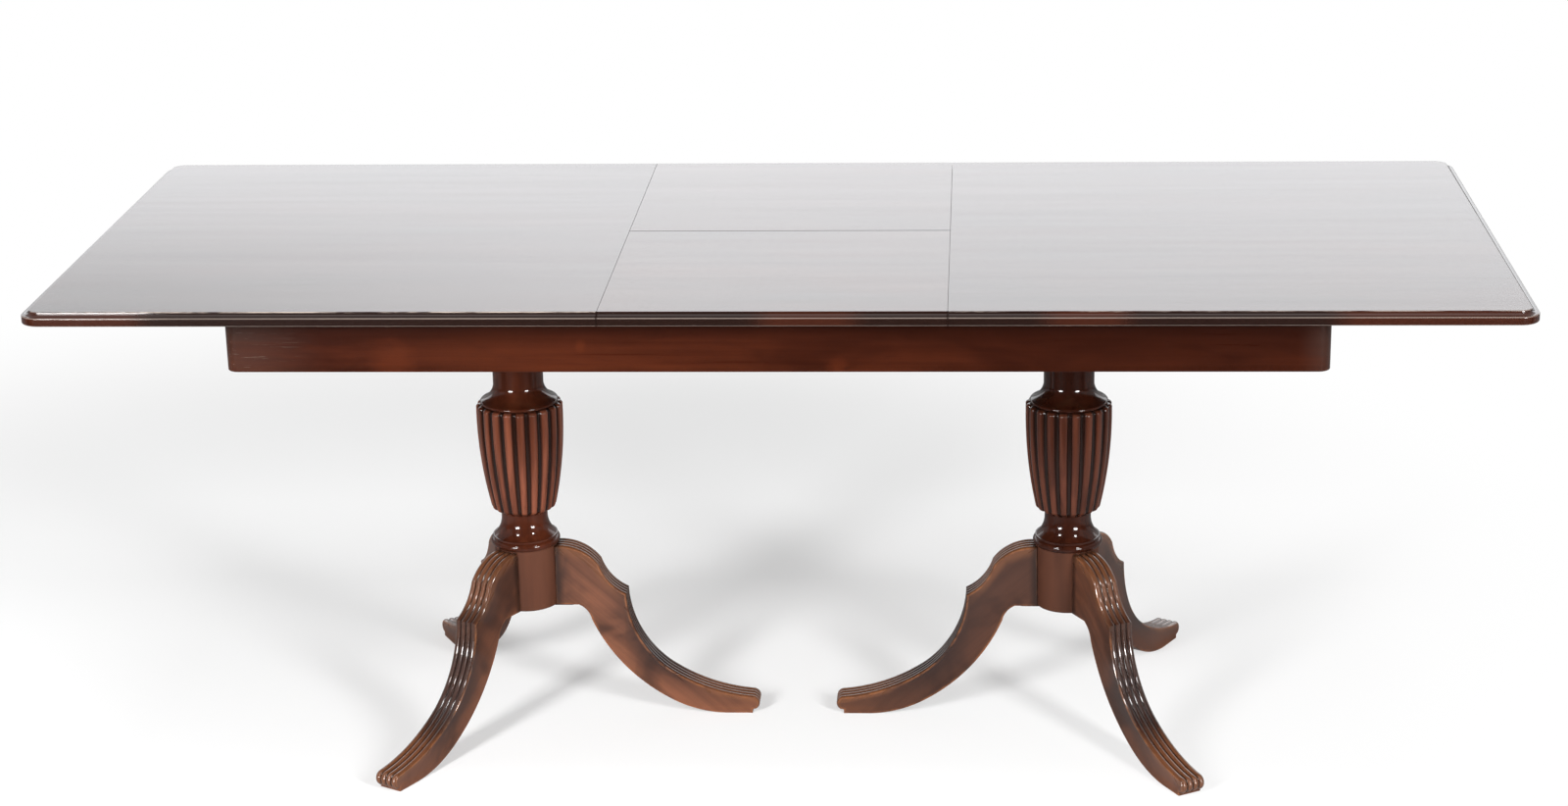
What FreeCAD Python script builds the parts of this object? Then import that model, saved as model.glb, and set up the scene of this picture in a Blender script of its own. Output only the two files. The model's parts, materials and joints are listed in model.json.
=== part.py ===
import FreeCAD, Part
import math
import os
import re

Vector = FreeCAD.Vector
Rotation = FreeCAD.Rotation
Placement = FreeCAD.Placement
ALONG_TABLE = Vector(1, 0, 0)
UPRIGHT = Vector(0, 0, 1)

# Double pedestal dining table with a folding leaf, in millimetres.
# X runs along the table, Y from front to back and Z up. The origin is on the floor under the middle.

# Driving dimensions: each size is written once here and reaches the pieces through the sheet.
SIZES = (
    # Whole table
    ("table_height", 760.0),
    ("top_length", 2040.0),
    ("top_depth", 846.0),
    ("top_thickness", 18.0),
    ("top_corner_radius", 28.0),
    ("leaf_width", 470.0),
    ("seam_gap", 0.5),
    ("fold_gap", 0.4),
    ("cut_overrun", 12.0),
    # Moulded edge of the top: a flat land, a quirk, a cove, a ledge and a rounded nose
    ("edge_land_width", 4.0),
    ("edge_quirk_depth", 1.2),
    ("edge_cove_width", 7.0),
    ("edge_cove_drop", 4.8),
    ("edge_ledge_width", 1.8),
    ("edge_nose_radius", 1.2),
    ("edge_under_radius", 2.4),
    # Apron frame
    ("apron_overhang", 36.0),
    ("apron_height", 75.0),
    ("apron_corner_radius", 13.0),
    ("apron_half_length", 749.0),
    ("rail_thickness", 22.0),
    ("rail_clearance", 0.3),
    ("corner_block_length", 50.0),
    ("corner_block_height", 38.0),
    ("corner_block_lift", 4.0),
    # Sliding runners under each top
    ("runner_seam_room", 65.0),
    ("runner_width", 22.0),
    ("runner_height", 28.0),
    ("runner_tongue", 7.5),
    ("runner_tongue_height", 8.0),
    ("runner_tongue_drop", 10.0),
    ("slide_clearance", 0.5),
    ("slide_travel", 50.0),
    ("runner_stop_room", 2.0),
    ("groove_end_room", 35.0),
    ("runner_screw_inset", 24.0),
    ("screw_bore", 4.4),
    ("screw_shank", 4.0),
    ("screw_head", 9.0),
    ("screw_head_height", 2.2),
    ("screw_bite", 10.0),
    # Pedestals
    ("pedestal_spacing", 820.0),
    ("bearer_width", 120.0),
    ("bearer_height", 26.0),
    ("cleat_length", 150.0),
    ("cleat_width", 170.0),
    ("cleat_height", 16.0),
    ("bolt_shank", 8.0),
    ("bolt_bore", 8.5),
    ("bolt_head_radius", 7.5),
    ("bolt_head_height", 5.3),
    ("bolt_nut_height", 6.5),
    ("bolt_inset_x", 48.0),
    ("bolt_inset_y", 66.0),
    ("fit_clearance", 0.2),
    # Turned column, from the block at its foot to the tenon in the bearer
    ("block_bottom", 178.0),
    ("block_height", 96.0),
    ("block_radius", 48.0),
    ("ring_radius", 52.0),
    ("ring_height", 12.5),
    ("fillet_height", 3.0),
    ("fillet_radius", 48.6),
    ("spool_height", 28.5),
    ("spool_radius", 46.8),
    ("lower_neck_radius", 34.7),
    ("lower_neck_height", 8.0),
    ("urn_foot_height", 5.5),
    ("urn_foot_radius", 41.5),
    ("urn_height", 165.5),
    ("urn_radius", 64.4),
    ("urn_waist_radius", 61.7),
    ("urn_heel_radius", 49.0),
    ("urn_heel_height", 6.5),
    ("urn_shoulder_height", 9.0),
    ("urn_shoulder_radius", 60.4),
    ("bead_height", 6.0),
    ("bead_radius", 60.0),
    ("bead_neck_radius", 57.6),
    ("neck_cove_height", 24.0),
    ("neck_cove_radius", 56.6),
    ("neck_radius", 37.5),
    ("capital_height", 26.0),
    ("capital_lip", 3.0),
    ("capital_radius", 46.0),
    ("tenon_radius", 20.0),
    ("reed_groove_width", 6.6),
    ("reed_groove_depth", 4.6),
    # Sabre leg, measured out from the column axis and up from the floor
    ("leg_thickness", 38.0),
    ("leg_top_room", 1.0),
    ("tail_length", 16.0),
    ("tail_neck", 20.0),
    ("tail_width", 26.0),
    ("knee_reach", 112.0),
    ("knee_height", 243.0),
    ("beak_reach", 152.5),
    ("beak_height", 196.0),
    ("shin_reach", 213.0),
    ("shin_height", 75.0),
    ("toe_reach", 342.0),
    ("toe_height", 27.5),
    ("nose_reach", 351.0),
    ("quirk_height", 6.0),
    ("sole_end_reach", 340.0),
    ("sole_start_reach", 298.0),
    ("calf_reach", 214.0),
    ("calf_height", 24.0),
    ("crook_reach", 98.0),
    ("crook_height", 154.0),
    ("crook_start_reach", 79.0),
    ("leg_groove_width", 2.2),
    ("leg_groove_depth", 2.2),
    # Brace plate under each block
    ("brace_thickness", 3.5),
    ("brace_hub_radius", 34.0),
    ("brace_arm_width", 22.0),
    ("brace_arm_reach", 76.0),
    ("brace_screw_reach", 62.0),
    # Leaf lift: arms swing the folded leaf down into the well
    ("stow_drop", 45.0),
    ("stowed_rise", 7.0),
    ("arm_spacing", 310.0),
    ("arm_thickness", 6.0),
    ("arm_width", 14.0),
    ("shaft_diameter", 10.0),
    ("shaft_clearance", 0.6),
    ("pin_diameter", 8.0),
    ("pin_clearance", 0.6),
    ("pin_drop", 10.5),
    ("front_pin_distance", 121.0),
    ("rear_pin_room", 45.0),
    ("bracket_plate", 2.5),
    ("bracket_length", 44.0),
    ("bracket_width", 26.0),
    ("bracket_lug", 5.0),
    ("bracket_screw_spacing", 32.0),
    ("bracket_screw_inset", 6.0),
    ("arm_side_room", 0.5),
    ("well_bearer_spacing", 362.0),
    ("well_bearer_width", 30.0),
    ("well_bearer_height", 26.0),
    ("well_bearer_lift", 1.3),
    # Concealed hinges on the fold of the leaf
    ("hinge_spacing", 178.0),
    ("hinge_width", 24.0),
    ("hinge_depth", 18.0),
    ("hinge_cover", 4.0),
    ("hinge_height", 12.0),
    ("tongue_inner", 7.5),
    ("tongue_outer", 13.0),
    ("tongue_width", 14.0),
    ("tongue_clearance", 0.5),
)

# Sizes that follow from the driving ones
DERIVED = (
    ("underside", "table_height - top_thickness"),
    ("edge_width", "edge_land_width + edge_cove_width + edge_ledge_width + edge_nose_radius"),
    ("edge_step", "edge_quirk_depth + edge_cove_drop"),
    ("panel_edge", "top_depth / 2 - edge_width"),
    ("panel_end", "top_length / 2 - edge_width"),
    ("panel_corner", "top_corner_radius - edge_width"),
    ("top_inner", "(leaf_width + seam_gap) / 2"),
    ("leaf_length", "leaf_width - seam_gap"),
    ("rail_top", "underside - rail_clearance"),
    ("apron_bottom", "rail_top - apron_height"),
    ("rail_outer", "top_depth / 2 - apron_overhang"),
    ("rail_inner", "rail_outer - rail_thickness"),
    ("end_inner", "apron_half_length - rail_thickness"),
    ("cross_length", "2 * rail_inner"),
    ("runner_outer", "rail_inner - slide_clearance"),
    ("runner_bottom", "underside - runner_height"),
    ("tongue_top", "underside - runner_tongue_drop"),
    ("tongue_bottom", "tongue_top - runner_tongue_height"),
    ("groove_end", "end_inner - groove_end_room"),
    ("runner_start", "leaf_width / 2 + runner_seam_room"),
    ("runner_length", "groove_end - runner_stop_room - slide_travel - runner_start"),
    ("groove_depth", "runner_tongue"),
    ("groove_height", "runner_tongue_height + 2 * slide_clearance"),
    ("cleat_top", "apron_bottom + cleat_height"),
    ("bearer_top", "cleat_top + bearer_height"),
    ("block_top", "block_bottom + block_height"),
    ("ring_top", "block_top + ring_height"),
    ("fillet_top", "ring_top + fillet_height"),
    ("spool_top", "fillet_top + spool_height"),
    ("lower_neck_top", "spool_top + lower_neck_height"),
    ("urn_bottom", "lower_neck_top + urn_foot_height"),
    ("urn_top", "urn_bottom + urn_height"),
    ("bead_top", "urn_top + bead_height"),
    ("cove_top", "bead_top + neck_cove_height"),
    ("seat_reach", "sqrt(block_radius ^ 2 - (leg_thickness / 2) ^ 2)"),
    ("leg_top", "block_top - leg_top_room"),
    ("brace_bottom", "block_bottom - brace_thickness"),
    ("rear_pin_distance", "rail_inner - rear_pin_room"),
    ("pin_height", "underside - pin_drop"),
    ("shaft_height", "pin_height - stow_drop - stowed_rise"),
    ("arm_rise", "pin_height - shaft_height"),
    ("stow_shift", "top_depth / 4"),
    ("stowed_reach", "(stow_shift ^ 2 + arm_rise ^ 2 - stowed_rise ^ 2) / (2 * stow_shift)"),
    ("arm_reach", "stow_shift - stowed_reach"),
    ("shaft_length", "well_bearer_spacing + well_bearer_width"),
    ("well_bearer_bottom", "apron_bottom + well_bearer_lift"),
    ("lug_place", "arm_spacing / 2 - (arm_thickness + bracket_lug) / 2 - arm_side_room"),
    ("screw_row", "lug_place - bracket_screw_inset"),
)

# How many of each repeated thing
REED_COUNT = 20
LEG_COUNT = 3
LEG_REEDS = 4
SCREW_SIDES = 10
BOLT_SIDES = 6

# Middle points of the curved stretches, as shares along and across the box that each curve fills
EDGE_COVE_SHARES = (0.35, 0.83)
SPOOL_SHARES = (0.70, 0.42)
NECK_COVE_SHARES = (0.64, 0.35)
CAPITAL_SHARES = (0.24, 0.62)
URN_WAIST_SHARE = 0.535
HEEL_SHARES = (0.66, 0.23)
ROUND_EASE_SHARE = 0.27
SHOULDER_SHARES = (0.28, 0.70)
KNEE_SHARES = (0.60, 0.235)
INSTEP_SHARES = (0.45, 0.66)
SHIN_SHARES = (0.255, 0.535)
FOOT_SHARES = (0.395, 0.60)
NOSE_SHARES = (1.0, 0.47)
CALF_SHARES = (0.36, 0.525)
SOLE_SHARES = (0.50, 0.27)
CROOK_SHARES = (0.58, 0.33)
QUARTER_SHARE = math.sqrt(0.5)

# Half the turn that a hinge tongue covers, and the direction straight down, in degrees
TONGUE_SWEEP = 32.0
STRAIGHT_DOWN = 270.0

doc = FreeCAD.newDocument("DoublePedestalTable")
sheet = doc.addObject("Spreadsheet::Sheet", "Sizes")
for row, (alias, content) in enumerate(SIZES + DERIVED, start=1):
    sheet.set(f"A{row}", alias)
    sheet.set(f"B{row}", f"={content}" if isinstance(content, str) else str(content))
    sheet.setAlias(f"B{row}", alias)
doc.recompute()


class Named:
    """Reads the value of a named size from the sheet."""

    def __getattr__(self, alias):
        return float(sheet.get(alias))


size = Named()
nodes = []


def keep(piece, label):
    """Names a finished piece, which puts it on the list that is written out."""
    piece.Label = label
    nodes.append(piece)
    return piece


def bind(piece, **formulas):
    """Ties properties of a piece to formulas of the sheet's sizes."""
    for name, formula in formulas.items():
        piece.setExpression(name.replace("__", "."), formula)
    return piece


def sized(formula):
    """Puts the sheet's name before each size of a formula written in plain names."""
    return re.sub(r"[a-z]\w*", r"Sizes.\g<0>", formula)


def place(piece, along="0", across="0", up="0", turn=0.0):
    """Stands a piece at a place given by formulas, turned about the vertical."""
    piece.Placement = Placement(Vector(), Rotation(UPRIGHT, turn))
    formulas = {"Placement__Base__x": along, "Placement__Base__y": across, "Placement__Base__z": up}
    return bind(piece, **{name: sized(formula) for name, formula in formulas.items()})


def box(name, length, width, height, along, across, up):
    """Makes a block from formulas of its sizes and of its low corner."""
    block = doc.addObject("Part::Box", name)
    bind(block, Length=sized(length), Width=sized(width), Height=sized(height))
    return place(block, along, across, up)


def rod(name, radius, height, along, across, up, axis=UPRIGHT):
    """Makes a round bar that starts at a place and runs along an axis."""
    bar = doc.addObject("Part::Cylinder", name)
    bind(bar, Radius=sized(radius), Height=sized(height))
    place(bar, along, across, up)
    bar.Placement = Placement(bar.Placement.Base, Rotation(UPRIGHT, axis))
    return bar


def fuse(name, pieces):
    joined = doc.addObject("Part::MultiFuse", name)
    joined.Shapes = pieces
    return joined


def cut(name, base, tools):
    """Takes tools away from a base."""
    result = doc.addObject("Part::Cut", name)
    result.Base = base
    result.Tool = tools[0] if len(tools) == 1 else fuse(f"{name}_tools", tools)
    return result


def group(label, pieces):
    """Keeps like pieces together as separate solids of one node."""
    gathered = doc.addObject("Part::Compound", label)
    gathered.Links = pieces
    return keep(gathered, label)


def new_body(label):
    return keep(doc.addObject("PartDesign::Body", label), label)


def origin_feature(body, role):
    return next(feature for feature in body.Origin.OriginFeatures if feature.Role == role)


def sketch(body, role, name, lift=0.0):
    """Adds a sketch on one of the body's own planes, lifted along the plane's normal."""
    drawing = body.newObject("Sketcher::SketchObject", f"{body.Name}_{name}")
    drawing.AttachmentSupport = [(origin_feature(body, role), "")]
    drawing.MapMode = "FlatFace"
    drawing.AttachmentOffset = Placement(Vector(0, 0, lift), Rotation())
    return drawing


def flat(point):
    return Vector(point[0], point[1], 0)


def draw(drawing, start, steps, closed=True):
    """Draws an outline: a step is an end point, or the middle and end points of an arc."""
    here = start
    for step in list(steps) + ([start] if closed else []):
        if isinstance(step[0], tuple):
            middle, end = step
            drawing.addGeometry(Part.Arc(flat(here), flat(middle), flat(end)), False)
        else:
            end = step
            drawing.addGeometry(Part.LineSegment(flat(here), flat(end)), False)
        here = end
    return drawing


def ring_of(drawing, centres, radius):
    """Draws a circle at each centre."""
    for centre in centres:
        drawing.addGeometry(Part.Circle(flat(centre), UPRIGHT, radius), False)
    return drawing


def rectangle(low, high):
    """Start and steps of an upright rectangle."""
    return low, [(high[0], low[1]), high, (low[0], high[1])]


def within(start, end, shares):
    """Point at shares of the box from start to end."""
    return (start[0] + (end[0] - start[0]) * shares[0], start[1] + (end[1] - start[1]) * shares[1])


def pad(body, drawing, length, midplane=False):
    feature = body.newObject("PartDesign::Pad", f"{drawing.Name}_pad")
    feature.Profile = drawing
    feature.Midplane = midplane
    bind(feature, Length=sized(length))
    return feature


def pocket(body, drawing, length, midplane=False, reverse=False):
    feature = body.newObject("PartDesign::Pocket", f"{drawing.Name}_pocket")
    feature.Profile = drawing
    feature.Midplane = midplane
    feature.Reversed = reverse
    bind(feature, Length=sized(length))
    return feature


def polar(body, feature, count):
    """Repeats a feature round the body's vertical axis."""
    pattern = body.newObject("PartDesign::PolarPattern", f"{feature.Name}_polar")
    pattern.Originals = [feature]
    pattern.Axis = (origin_feature(body, "Z_Axis"), [""])
    pattern.Angle = 360.0
    pattern.Occurrences = count
    body.Tip = pattern
    return pattern


# Table top and leaf

def edge_section(panel_edge, direction):
    """Moulded edge from the panel outwards, as start and steps in the plane across the edge."""
    def at(out, drop):
        return (direction * (panel_edge + out), size.table_height - drop)

    land, width, step = size.edge_land_width, size.edge_width, size.edge_step
    cove_end = land + size.edge_cove_width
    cove_middle = within((land, size.edge_quirk_depth), (cove_end, step), EDGE_COVE_SHARES)
    nose, under = size.edge_nose_radius, size.edge_under_radius
    thick = size.top_thickness
    nose_middle = (width - nose * (1 - QUARTER_SHARE), step + nose * (1 - QUARTER_SHARE))
    under_middle = (width - under * (1 - QUARTER_SHARE), thick - under * (1 - QUARTER_SHARE))
    steps = [
        at(land, 0),
        at(land, size.edge_quirk_depth),
        (at(*cove_middle), at(cove_end, step)),
        at(width - nose, step),
        (at(*nose_middle), at(width, step + nose)),
        at(width, thick - under),
        (at(*under_middle), at(width - under, thick)),
        at(0, thick),
    ]
    return at(0, 0), steps


def panel_path():
    """Line of the moulding round a top: along the front, round the end and back along the rear."""
    edge, end, corner = size.panel_edge, size.panel_end, size.panel_corner
    bend = corner * (1 - QUARTER_SHARE)
    start = (size.top_inner, -edge)
    steps = [
        (end - corner, -edge),
        ((end - bend, -edge + bend), (end, -edge + corner)),
        (end, edge - corner),
        ((end - bend, edge - bend), (end - corner, edge)),
        (size.top_inner, edge),
    ]
    return start, steps


def runner_screw_places():
    """Places of the runner screws under one top, front and rear."""
    middle = size.runner_outer - size.runner_width / 2
    first = size.runner_start + size.runner_screw_inset
    last = size.runner_start + size.runner_length - size.runner_screw_inset
    return [(along, side * middle) for along in (first, last) for side in (-1, 1)]


def make_top(label, turn):
    body = new_body(label)
    pad(body, draw(sketch(body, "XY_Plane", "panel", size.underside), *panel_path()), "top_thickness")
    path = draw(sketch(body, "XY_Plane", "path", size.underside), *panel_path(), closed=False)
    section = sketch(body, "YZ_Plane", "edge", size.top_inner)
    draw(section, *edge_section(size.panel_edge, -1))
    doc.recompute()
    moulding = body.newObject("PartDesign::AdditivePipe", f"{label}_moulding")
    moulding.Profile = section
    moulding.Spine = (path, [f"Edge{number}" for number in range(1, path.GeometryCount + 1)])
    bores = sketch(body, "XY_Plane", "bores", size.underside)
    ring_of(bores, runner_screw_places(), size.screw_bore / 2)
    pocket(body, bores, "screw_bite + screw_head_height", reverse=True)
    return place(body, turn=turn)


def hinge_places():
    """Places of the fold hinges along the leaf."""
    return [-size.hinge_spacing, 0.0, size.hinge_spacing]


def make_leaf(label, direction, bores):
    """One half of the leaf, from the fold to the front or rear edge."""
    body = new_body(label)
    start, steps = edge_section(size.panel_edge, direction)
    fold = direction * size.fold_gap / 2
    section = sketch(body, "YZ_Plane", "section")
    draw(section, start, steps + [(fold, size.underside), (fold, size.table_height)])
    pad(body, section, "leaf_length", midplane=True)
    sockets = sketch(body, "XZ_Plane", "sockets")
    low = size.table_height - size.hinge_cover - size.hinge_height
    for along in hinge_places():
        half = size.hinge_width / 2
        draw(sockets, *rectangle((along - half, low), (along + half, low + size.hinge_height)))
    pocket(body, sockets, "hinge_depth", reverse=direction < 0)
    if bores:
        holes = ring_of(sketch(body, "XY_Plane", "bores", size.underside), bores, size.screw_bore / 2)
        pocket(body, holes, "screw_bite", reverse=True)
    return body


# Apron frame

def make_long_rail(label, turn):
    """Front or rear rail, with the runners' groove along its inner side."""
    body = new_body(label)
    outer, inner, end = size.rail_outer, size.rail_inner, size.apron_half_length
    corner = size.apron_corner_radius
    bend = corner * (1 - QUARTER_SHARE)
    plan = sketch(body, "XY_Plane", "plan", size.apron_bottom)
    steps = [
        (-end, -outer + corner),
        ((-end + bend, -outer + bend), (-end + corner, -outer)),
        (end - corner, -outer),
        ((end - bend, -outer + bend), (end, -outer + corner)),
        (end, -inner),
    ]
    pad(body, draw(plan, (-end, -inner), steps), "apron_height")
    groove = sketch(body, "XY_Plane", "groove", size.tongue_top + size.slide_clearance)
    low = (-size.groove_end, -inner - size.groove_depth)
    draw(groove, *rectangle(low, (size.groove_end, -inner + size.cut_overrun)))
    pocket(body, groove, "groove_height")
    return place(body, turn=turn)


def make_end_rail(label, along):
    """Rail between the long rails, with its low X side at a place."""
    sizes = ("rail_thickness", "cross_length", "apron_height")
    return keep(box(label, *sizes, along, "-rail_inner", "apron_bottom"), label)


def make_corner_blocks():
    """Glue blocks in the four inside corners of the frame, under the runners."""
    blocks = []
    for along in (-1, 1):
        for across in (-1, 1):
            corner = Vector(along * size.end_inner, across * size.rail_inner, 0)
            beside = corner - Vector(along * size.corner_block_length, 0, 0)
            ahead = corner - Vector(0, across * size.corner_block_length, 0)
            outline = Part.Face(Part.makePolygon([corner, beside, ahead, corner]))
            block = doc.addObject("Part::Feature", "corner_block")
            block.Shape = outline.extrude(Vector(0, 0, size.corner_block_height))
            blocks.append(place(block, up="apron_bottom + corner_block_lift"))
    return group("corner_blocks", blocks)


def make_runner(label, side, turn):
    """Runner under a top, with a tongue in the rail's groove; side is -1 at the front, 1 at the rear."""
    body = new_body(label)
    outer, bottom = size.runner_outer, size.runner_bottom
    inner, tip = outer - size.runner_width, size.rail_inner + size.runner_tongue - size.slide_clearance
    steps = [
        (side * outer, bottom),
        (side * outer, size.tongue_bottom),
        (side * tip, size.tongue_bottom),
        (side * tip, size.tongue_top),
        (side * outer, size.tongue_top),
        (side * outer, size.underside),
        (side * inner, size.underside),
    ]
    section = draw(sketch(body, "YZ_Plane", "section", size.runner_start), (side * inner, bottom), steps)
    pad(body, section, "runner_length")
    places = [spot for spot in runner_screw_places() if spot[1] * side > 0]
    bores = ring_of(sketch(body, "XY_Plane", "bores", bottom), places, size.screw_bore / 2)
    pocket(body, bores, "runner_height", reverse=True)
    return place(body, turn=turn)


def prism(name, sides, radius, height, up="0"):
    """Makes an upright bar with flat sides on the vertical axis."""
    bar = doc.addObject("Part::Prism", name)
    bar.Polygon = sides
    bind(bar, Circumradius=sized(radius), Height=sized(height))
    return place(bar, up=up)


def make_screw(name, shank, along, across, up):
    """Pan-head screw pointing up, with the top of its head at a height."""
    head = prism(f"{name}_head", SCREW_SIDES, "screw_head / 2", "screw_head_height", "-screw_head_height")
    bar = prism(f"{name}_shank", SCREW_SIDES, "screw_shank / 2", shank)
    screw = fuse(name, [head, bar])
    screw.Placement = Placement(Vector(along, across, up), Rotation())
    return screw


def make_runner_screws(label, direction):
    """Screws that hold both runners of one top."""
    screws = []
    for along, across in runner_screw_places():
        spot = (direction * along, across, size.runner_bottom)
        screws.append(make_screw("runner_screw", "runner_height + screw_bite", *spot))
    return group(label, screws)


# Pedestals

def bolt_places():
    return [(x * size.bolt_inset_x, y * size.bolt_inset_y) for x in (-1, 1) for y in (-1, 1)]


def make_board(label, half_length, half_width, bottom, height, centre):
    """Flat board on a column's tenon, bored for the tenon and the bolts."""
    body = new_body(label)
    plan = sketch(body, "XY_Plane", "plan", bottom)
    draw(plan, *rectangle((-half_length, -half_width), (half_length, half_width)))
    ring_of(plan, bolt_places(), size.bolt_bore / 2)
    ring_of(plan, [(0.0, 0.0)], size.tenon_radius + size.fit_clearance)
    pad(body, plan, height)
    return place(body, along=centre)


def make_bolts(side, centre):
    """Hexagon bolts up through the cleat and the bearer, and their nuts on top."""
    bolts = []
    nuts = []
    for x, y in bolt_places():
        head = prism("bolt_head", BOLT_SIDES, "bolt_head_radius", "bolt_head_height", "-bolt_head_height")
        shank_length = "cleat_height + bearer_height + bolt_nut_height"
        shank = prism("bolt_shank", SCREW_SIDES, "bolt_shank / 2", shank_length)
        bolt = fuse("cleat_bolt", [head, shank])
        bolt.Placement = Placement(Vector(centre + x, y, size.apron_bottom), Rotation())
        bolts.append(bolt)
        blank = prism("nut_blank", BOLT_SIDES, "bolt_head_radius", "bolt_nut_height")
        bore = rod("nut_bore", "bolt_bore / 2", "bolt_nut_height", "0", "0", "0")
        nut = cut("cleat_nut", blank, [bore])
        nut.Placement = Placement(Vector(centre + x, y, size.bearer_top), Rotation())
        nuts.append(nut)
    group(f"cleat_bolts_{side}", bolts)
    group(f"cleat_nuts_{side}", nuts)


def column_profile():
    """Half outline of the turned column, from the foot of the block up to the tenon."""
    block, fillet, lower_neck = size.block_radius, size.fillet_radius, size.lower_neck_radius
    ring_ease = size.ring_height * ROUND_EASE_SHARE
    spool_start, spool_end = (size.spool_radius, size.fillet_top), (lower_neck, size.spool_top)
    foot = (size.urn_foot_radius, size.urn_bottom)
    heel = (size.urn_heel_radius, size.urn_bottom + size.urn_heel_height)
    shoulder_start = (size.urn_radius, size.urn_top - size.urn_shoulder_height)
    shoulder_end = (size.urn_shoulder_radius, size.urn_top)
    waist = (size.urn_waist_radius, heel[1] + (shoulder_start[1] - heel[1]) * URN_WAIST_SHARE)
    bead = size.bead_neck_radius
    bead_ease = size.bead_height * ROUND_EASE_SHARE
    cove_start, cove_end = (size.neck_cove_radius, size.bead_top), (size.neck_radius, size.cove_top)
    flare_start = (size.neck_radius, size.apron_bottom - size.capital_height)
    flare_end = (size.capital_radius, size.apron_bottom - size.capital_lip)
    return (0.0, size.block_bottom), [
        (block, size.block_bottom),
        (block, size.block_top),
        (size.ring_radius, size.block_top + ring_ease),
        (size.ring_radius, size.ring_top - ring_ease),
        (block, size.ring_top),
        (fillet, size.ring_top),
        (fillet, size.fillet_top),
        spool_start,
        (within(spool_start, spool_end, SPOOL_SHARES), spool_end),
        (lower_neck, size.lower_neck_top),
        foot,
        within(foot, heel, HEEL_SHARES),
        heel,
        (waist, shoulder_start),
        within(shoulder_start, shoulder_end, SHOULDER_SHARES),
        shoulder_end,
        (bead, size.urn_top),
        (size.bead_radius, size.urn_top + bead_ease),
        (size.bead_radius, size.bead_top - bead_ease),
        (bead, size.bead_top),
        cove_start,
        (within(cove_start, cove_end, NECK_COVE_SHARES), cove_end),
        flare_start,
        (within(flare_start, flare_end, CAPITAL_SHARES), flare_end),
        (size.capital_radius, size.apron_bottom),
        (size.tenon_radius, size.apron_bottom),
        (size.tenon_radius, size.bearer_top),
        (0.0, size.bearer_top),
    ]


def reed_groove_outline():
    """Side view of one groove between two reeds: its floor follows the urn and runs out at both ends."""
    depth, clear = size.reed_groove_depth, size.urn_radius + size.cut_overrun
    heel_height = size.urn_bottom + size.urn_heel_height
    shoulder_height = size.urn_top - size.urn_shoulder_height
    waist_height = heel_height + (shoulder_height - heel_height) * URN_WAIST_SHARE
    heel = (size.urn_heel_radius - depth, heel_height)
    shoulder = (size.urn_radius - depth, shoulder_height)
    return (clear, size.urn_bottom), [
        (size.urn_heel_radius - depth, size.urn_bottom),
        heel,
        ((size.urn_waist_radius - depth, waist_height), shoulder),
        (size.urn_radius - depth, size.urn_top),
        (clear, size.urn_top),
    ]


def make_column(label, centre, turn):
    body = new_body(label)
    profile = draw(sketch(body, "XZ_Plane", "profile"), *column_profile())
    turning = body.newObject("PartDesign::Revolution", f"{label}_turning")
    turning.Profile = profile
    turning.ReferenceAxis = (profile, ["V_Axis"])
    turning.Angle = 360.0
    groove = draw(sketch(body, "XZ_Plane", "groove"), *reed_groove_outline())
    polar(body, pocket(body, groove, "reed_groove_width", midplane=True), REED_COUNT)
    room = size.fit_clearance
    seat, half = size.seat_reach, size.leg_thickness / 2
    neck, width = size.tail_neck / 2 + room, size.tail_width / 2 + room
    deep, clear = seat - size.tail_length - room, size.block_radius + size.cut_overrun
    right = [(clear, half), (seat, half), (seat, neck), (deep, width)]
    left = [(deep, -width), (seat, -neck), (seat, -half)]
    socket = draw(sketch(body, "XY_Plane", "socket", size.block_bottom), (clear, -half), right + left)
    seats = pocket(body, socket, "block_height", reverse=True)
    polar(body, seats, LEG_COUNT)
    return place(body, along=centre, turn=turn)


def circle_through(first, middle, last):
    """Centre and radius of the circle through three points."""
    circle = Part.Arc(flat(first), flat(middle), flat(last)).toShape().Curve
    return (circle.Center.x, circle.Center.y), circle.Radius


def shifted(point, centre, distance, hollow):
    """Point moved into the leg along the arc's radius; hollow arcs have their centre outside the leg."""
    away = math.dist(point, centre)
    scale = (away + distance if hollow else away - distance) / away
    return (centre[0] + (point[0] - centre[0]) * scale, centre[1] + (point[1] - centre[1]) * scale)


def leg_top_arcs():
    """Upper edge of the leg as arcs: start, middle, end and whether the arc is hollow."""
    root, knee = (size.seat_reach, size.leg_top), (size.knee_reach, size.knee_height)
    beak, shin = (size.beak_reach, size.beak_height), (size.shin_reach, size.shin_height)
    toe = (size.toe_reach, size.toe_height)
    return [
        (root, within(root, knee, KNEE_SHARES), knee, False),
        (knee, within(knee, beak, INSTEP_SHARES), beak, True),
        (beak, within(beak, shin, SHIN_SHARES), shin, True),
        (shin, within(shin, toe, FOOT_SHARES), toe, True),
    ]


def meeting(before, after, distance):
    """Where two neighbouring arcs meet once both are moved into the leg."""
    point = after[0]
    (first_x, first_y), first_radius = circle_through(*before[:3])
    (second_x, second_y), second_radius = circle_through(*after[:3])
    first_radius += distance if before[3] else -distance
    second_radius += distance if after[3] else -distance
    gap = math.dist((first_x, first_y), (second_x, second_y))
    along = (gap ** 2 + first_radius ** 2 - second_radius ** 2) / (2 * gap)
    across = math.sqrt(max(first_radius ** 2 - along ** 2, 0.0))
    unit = ((second_x - first_x) / gap, (second_y - first_y) / gap)
    foot = (first_x + unit[0] * along, first_y + unit[1] * along)
    offset = (-unit[1] * across, unit[0] * across)
    choices = [(foot[0] + side * offset[0], foot[1] + side * offset[1]) for side in (-1, 1)]
    return min(choices, key=lambda choice: math.dist(choice, point))


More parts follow.
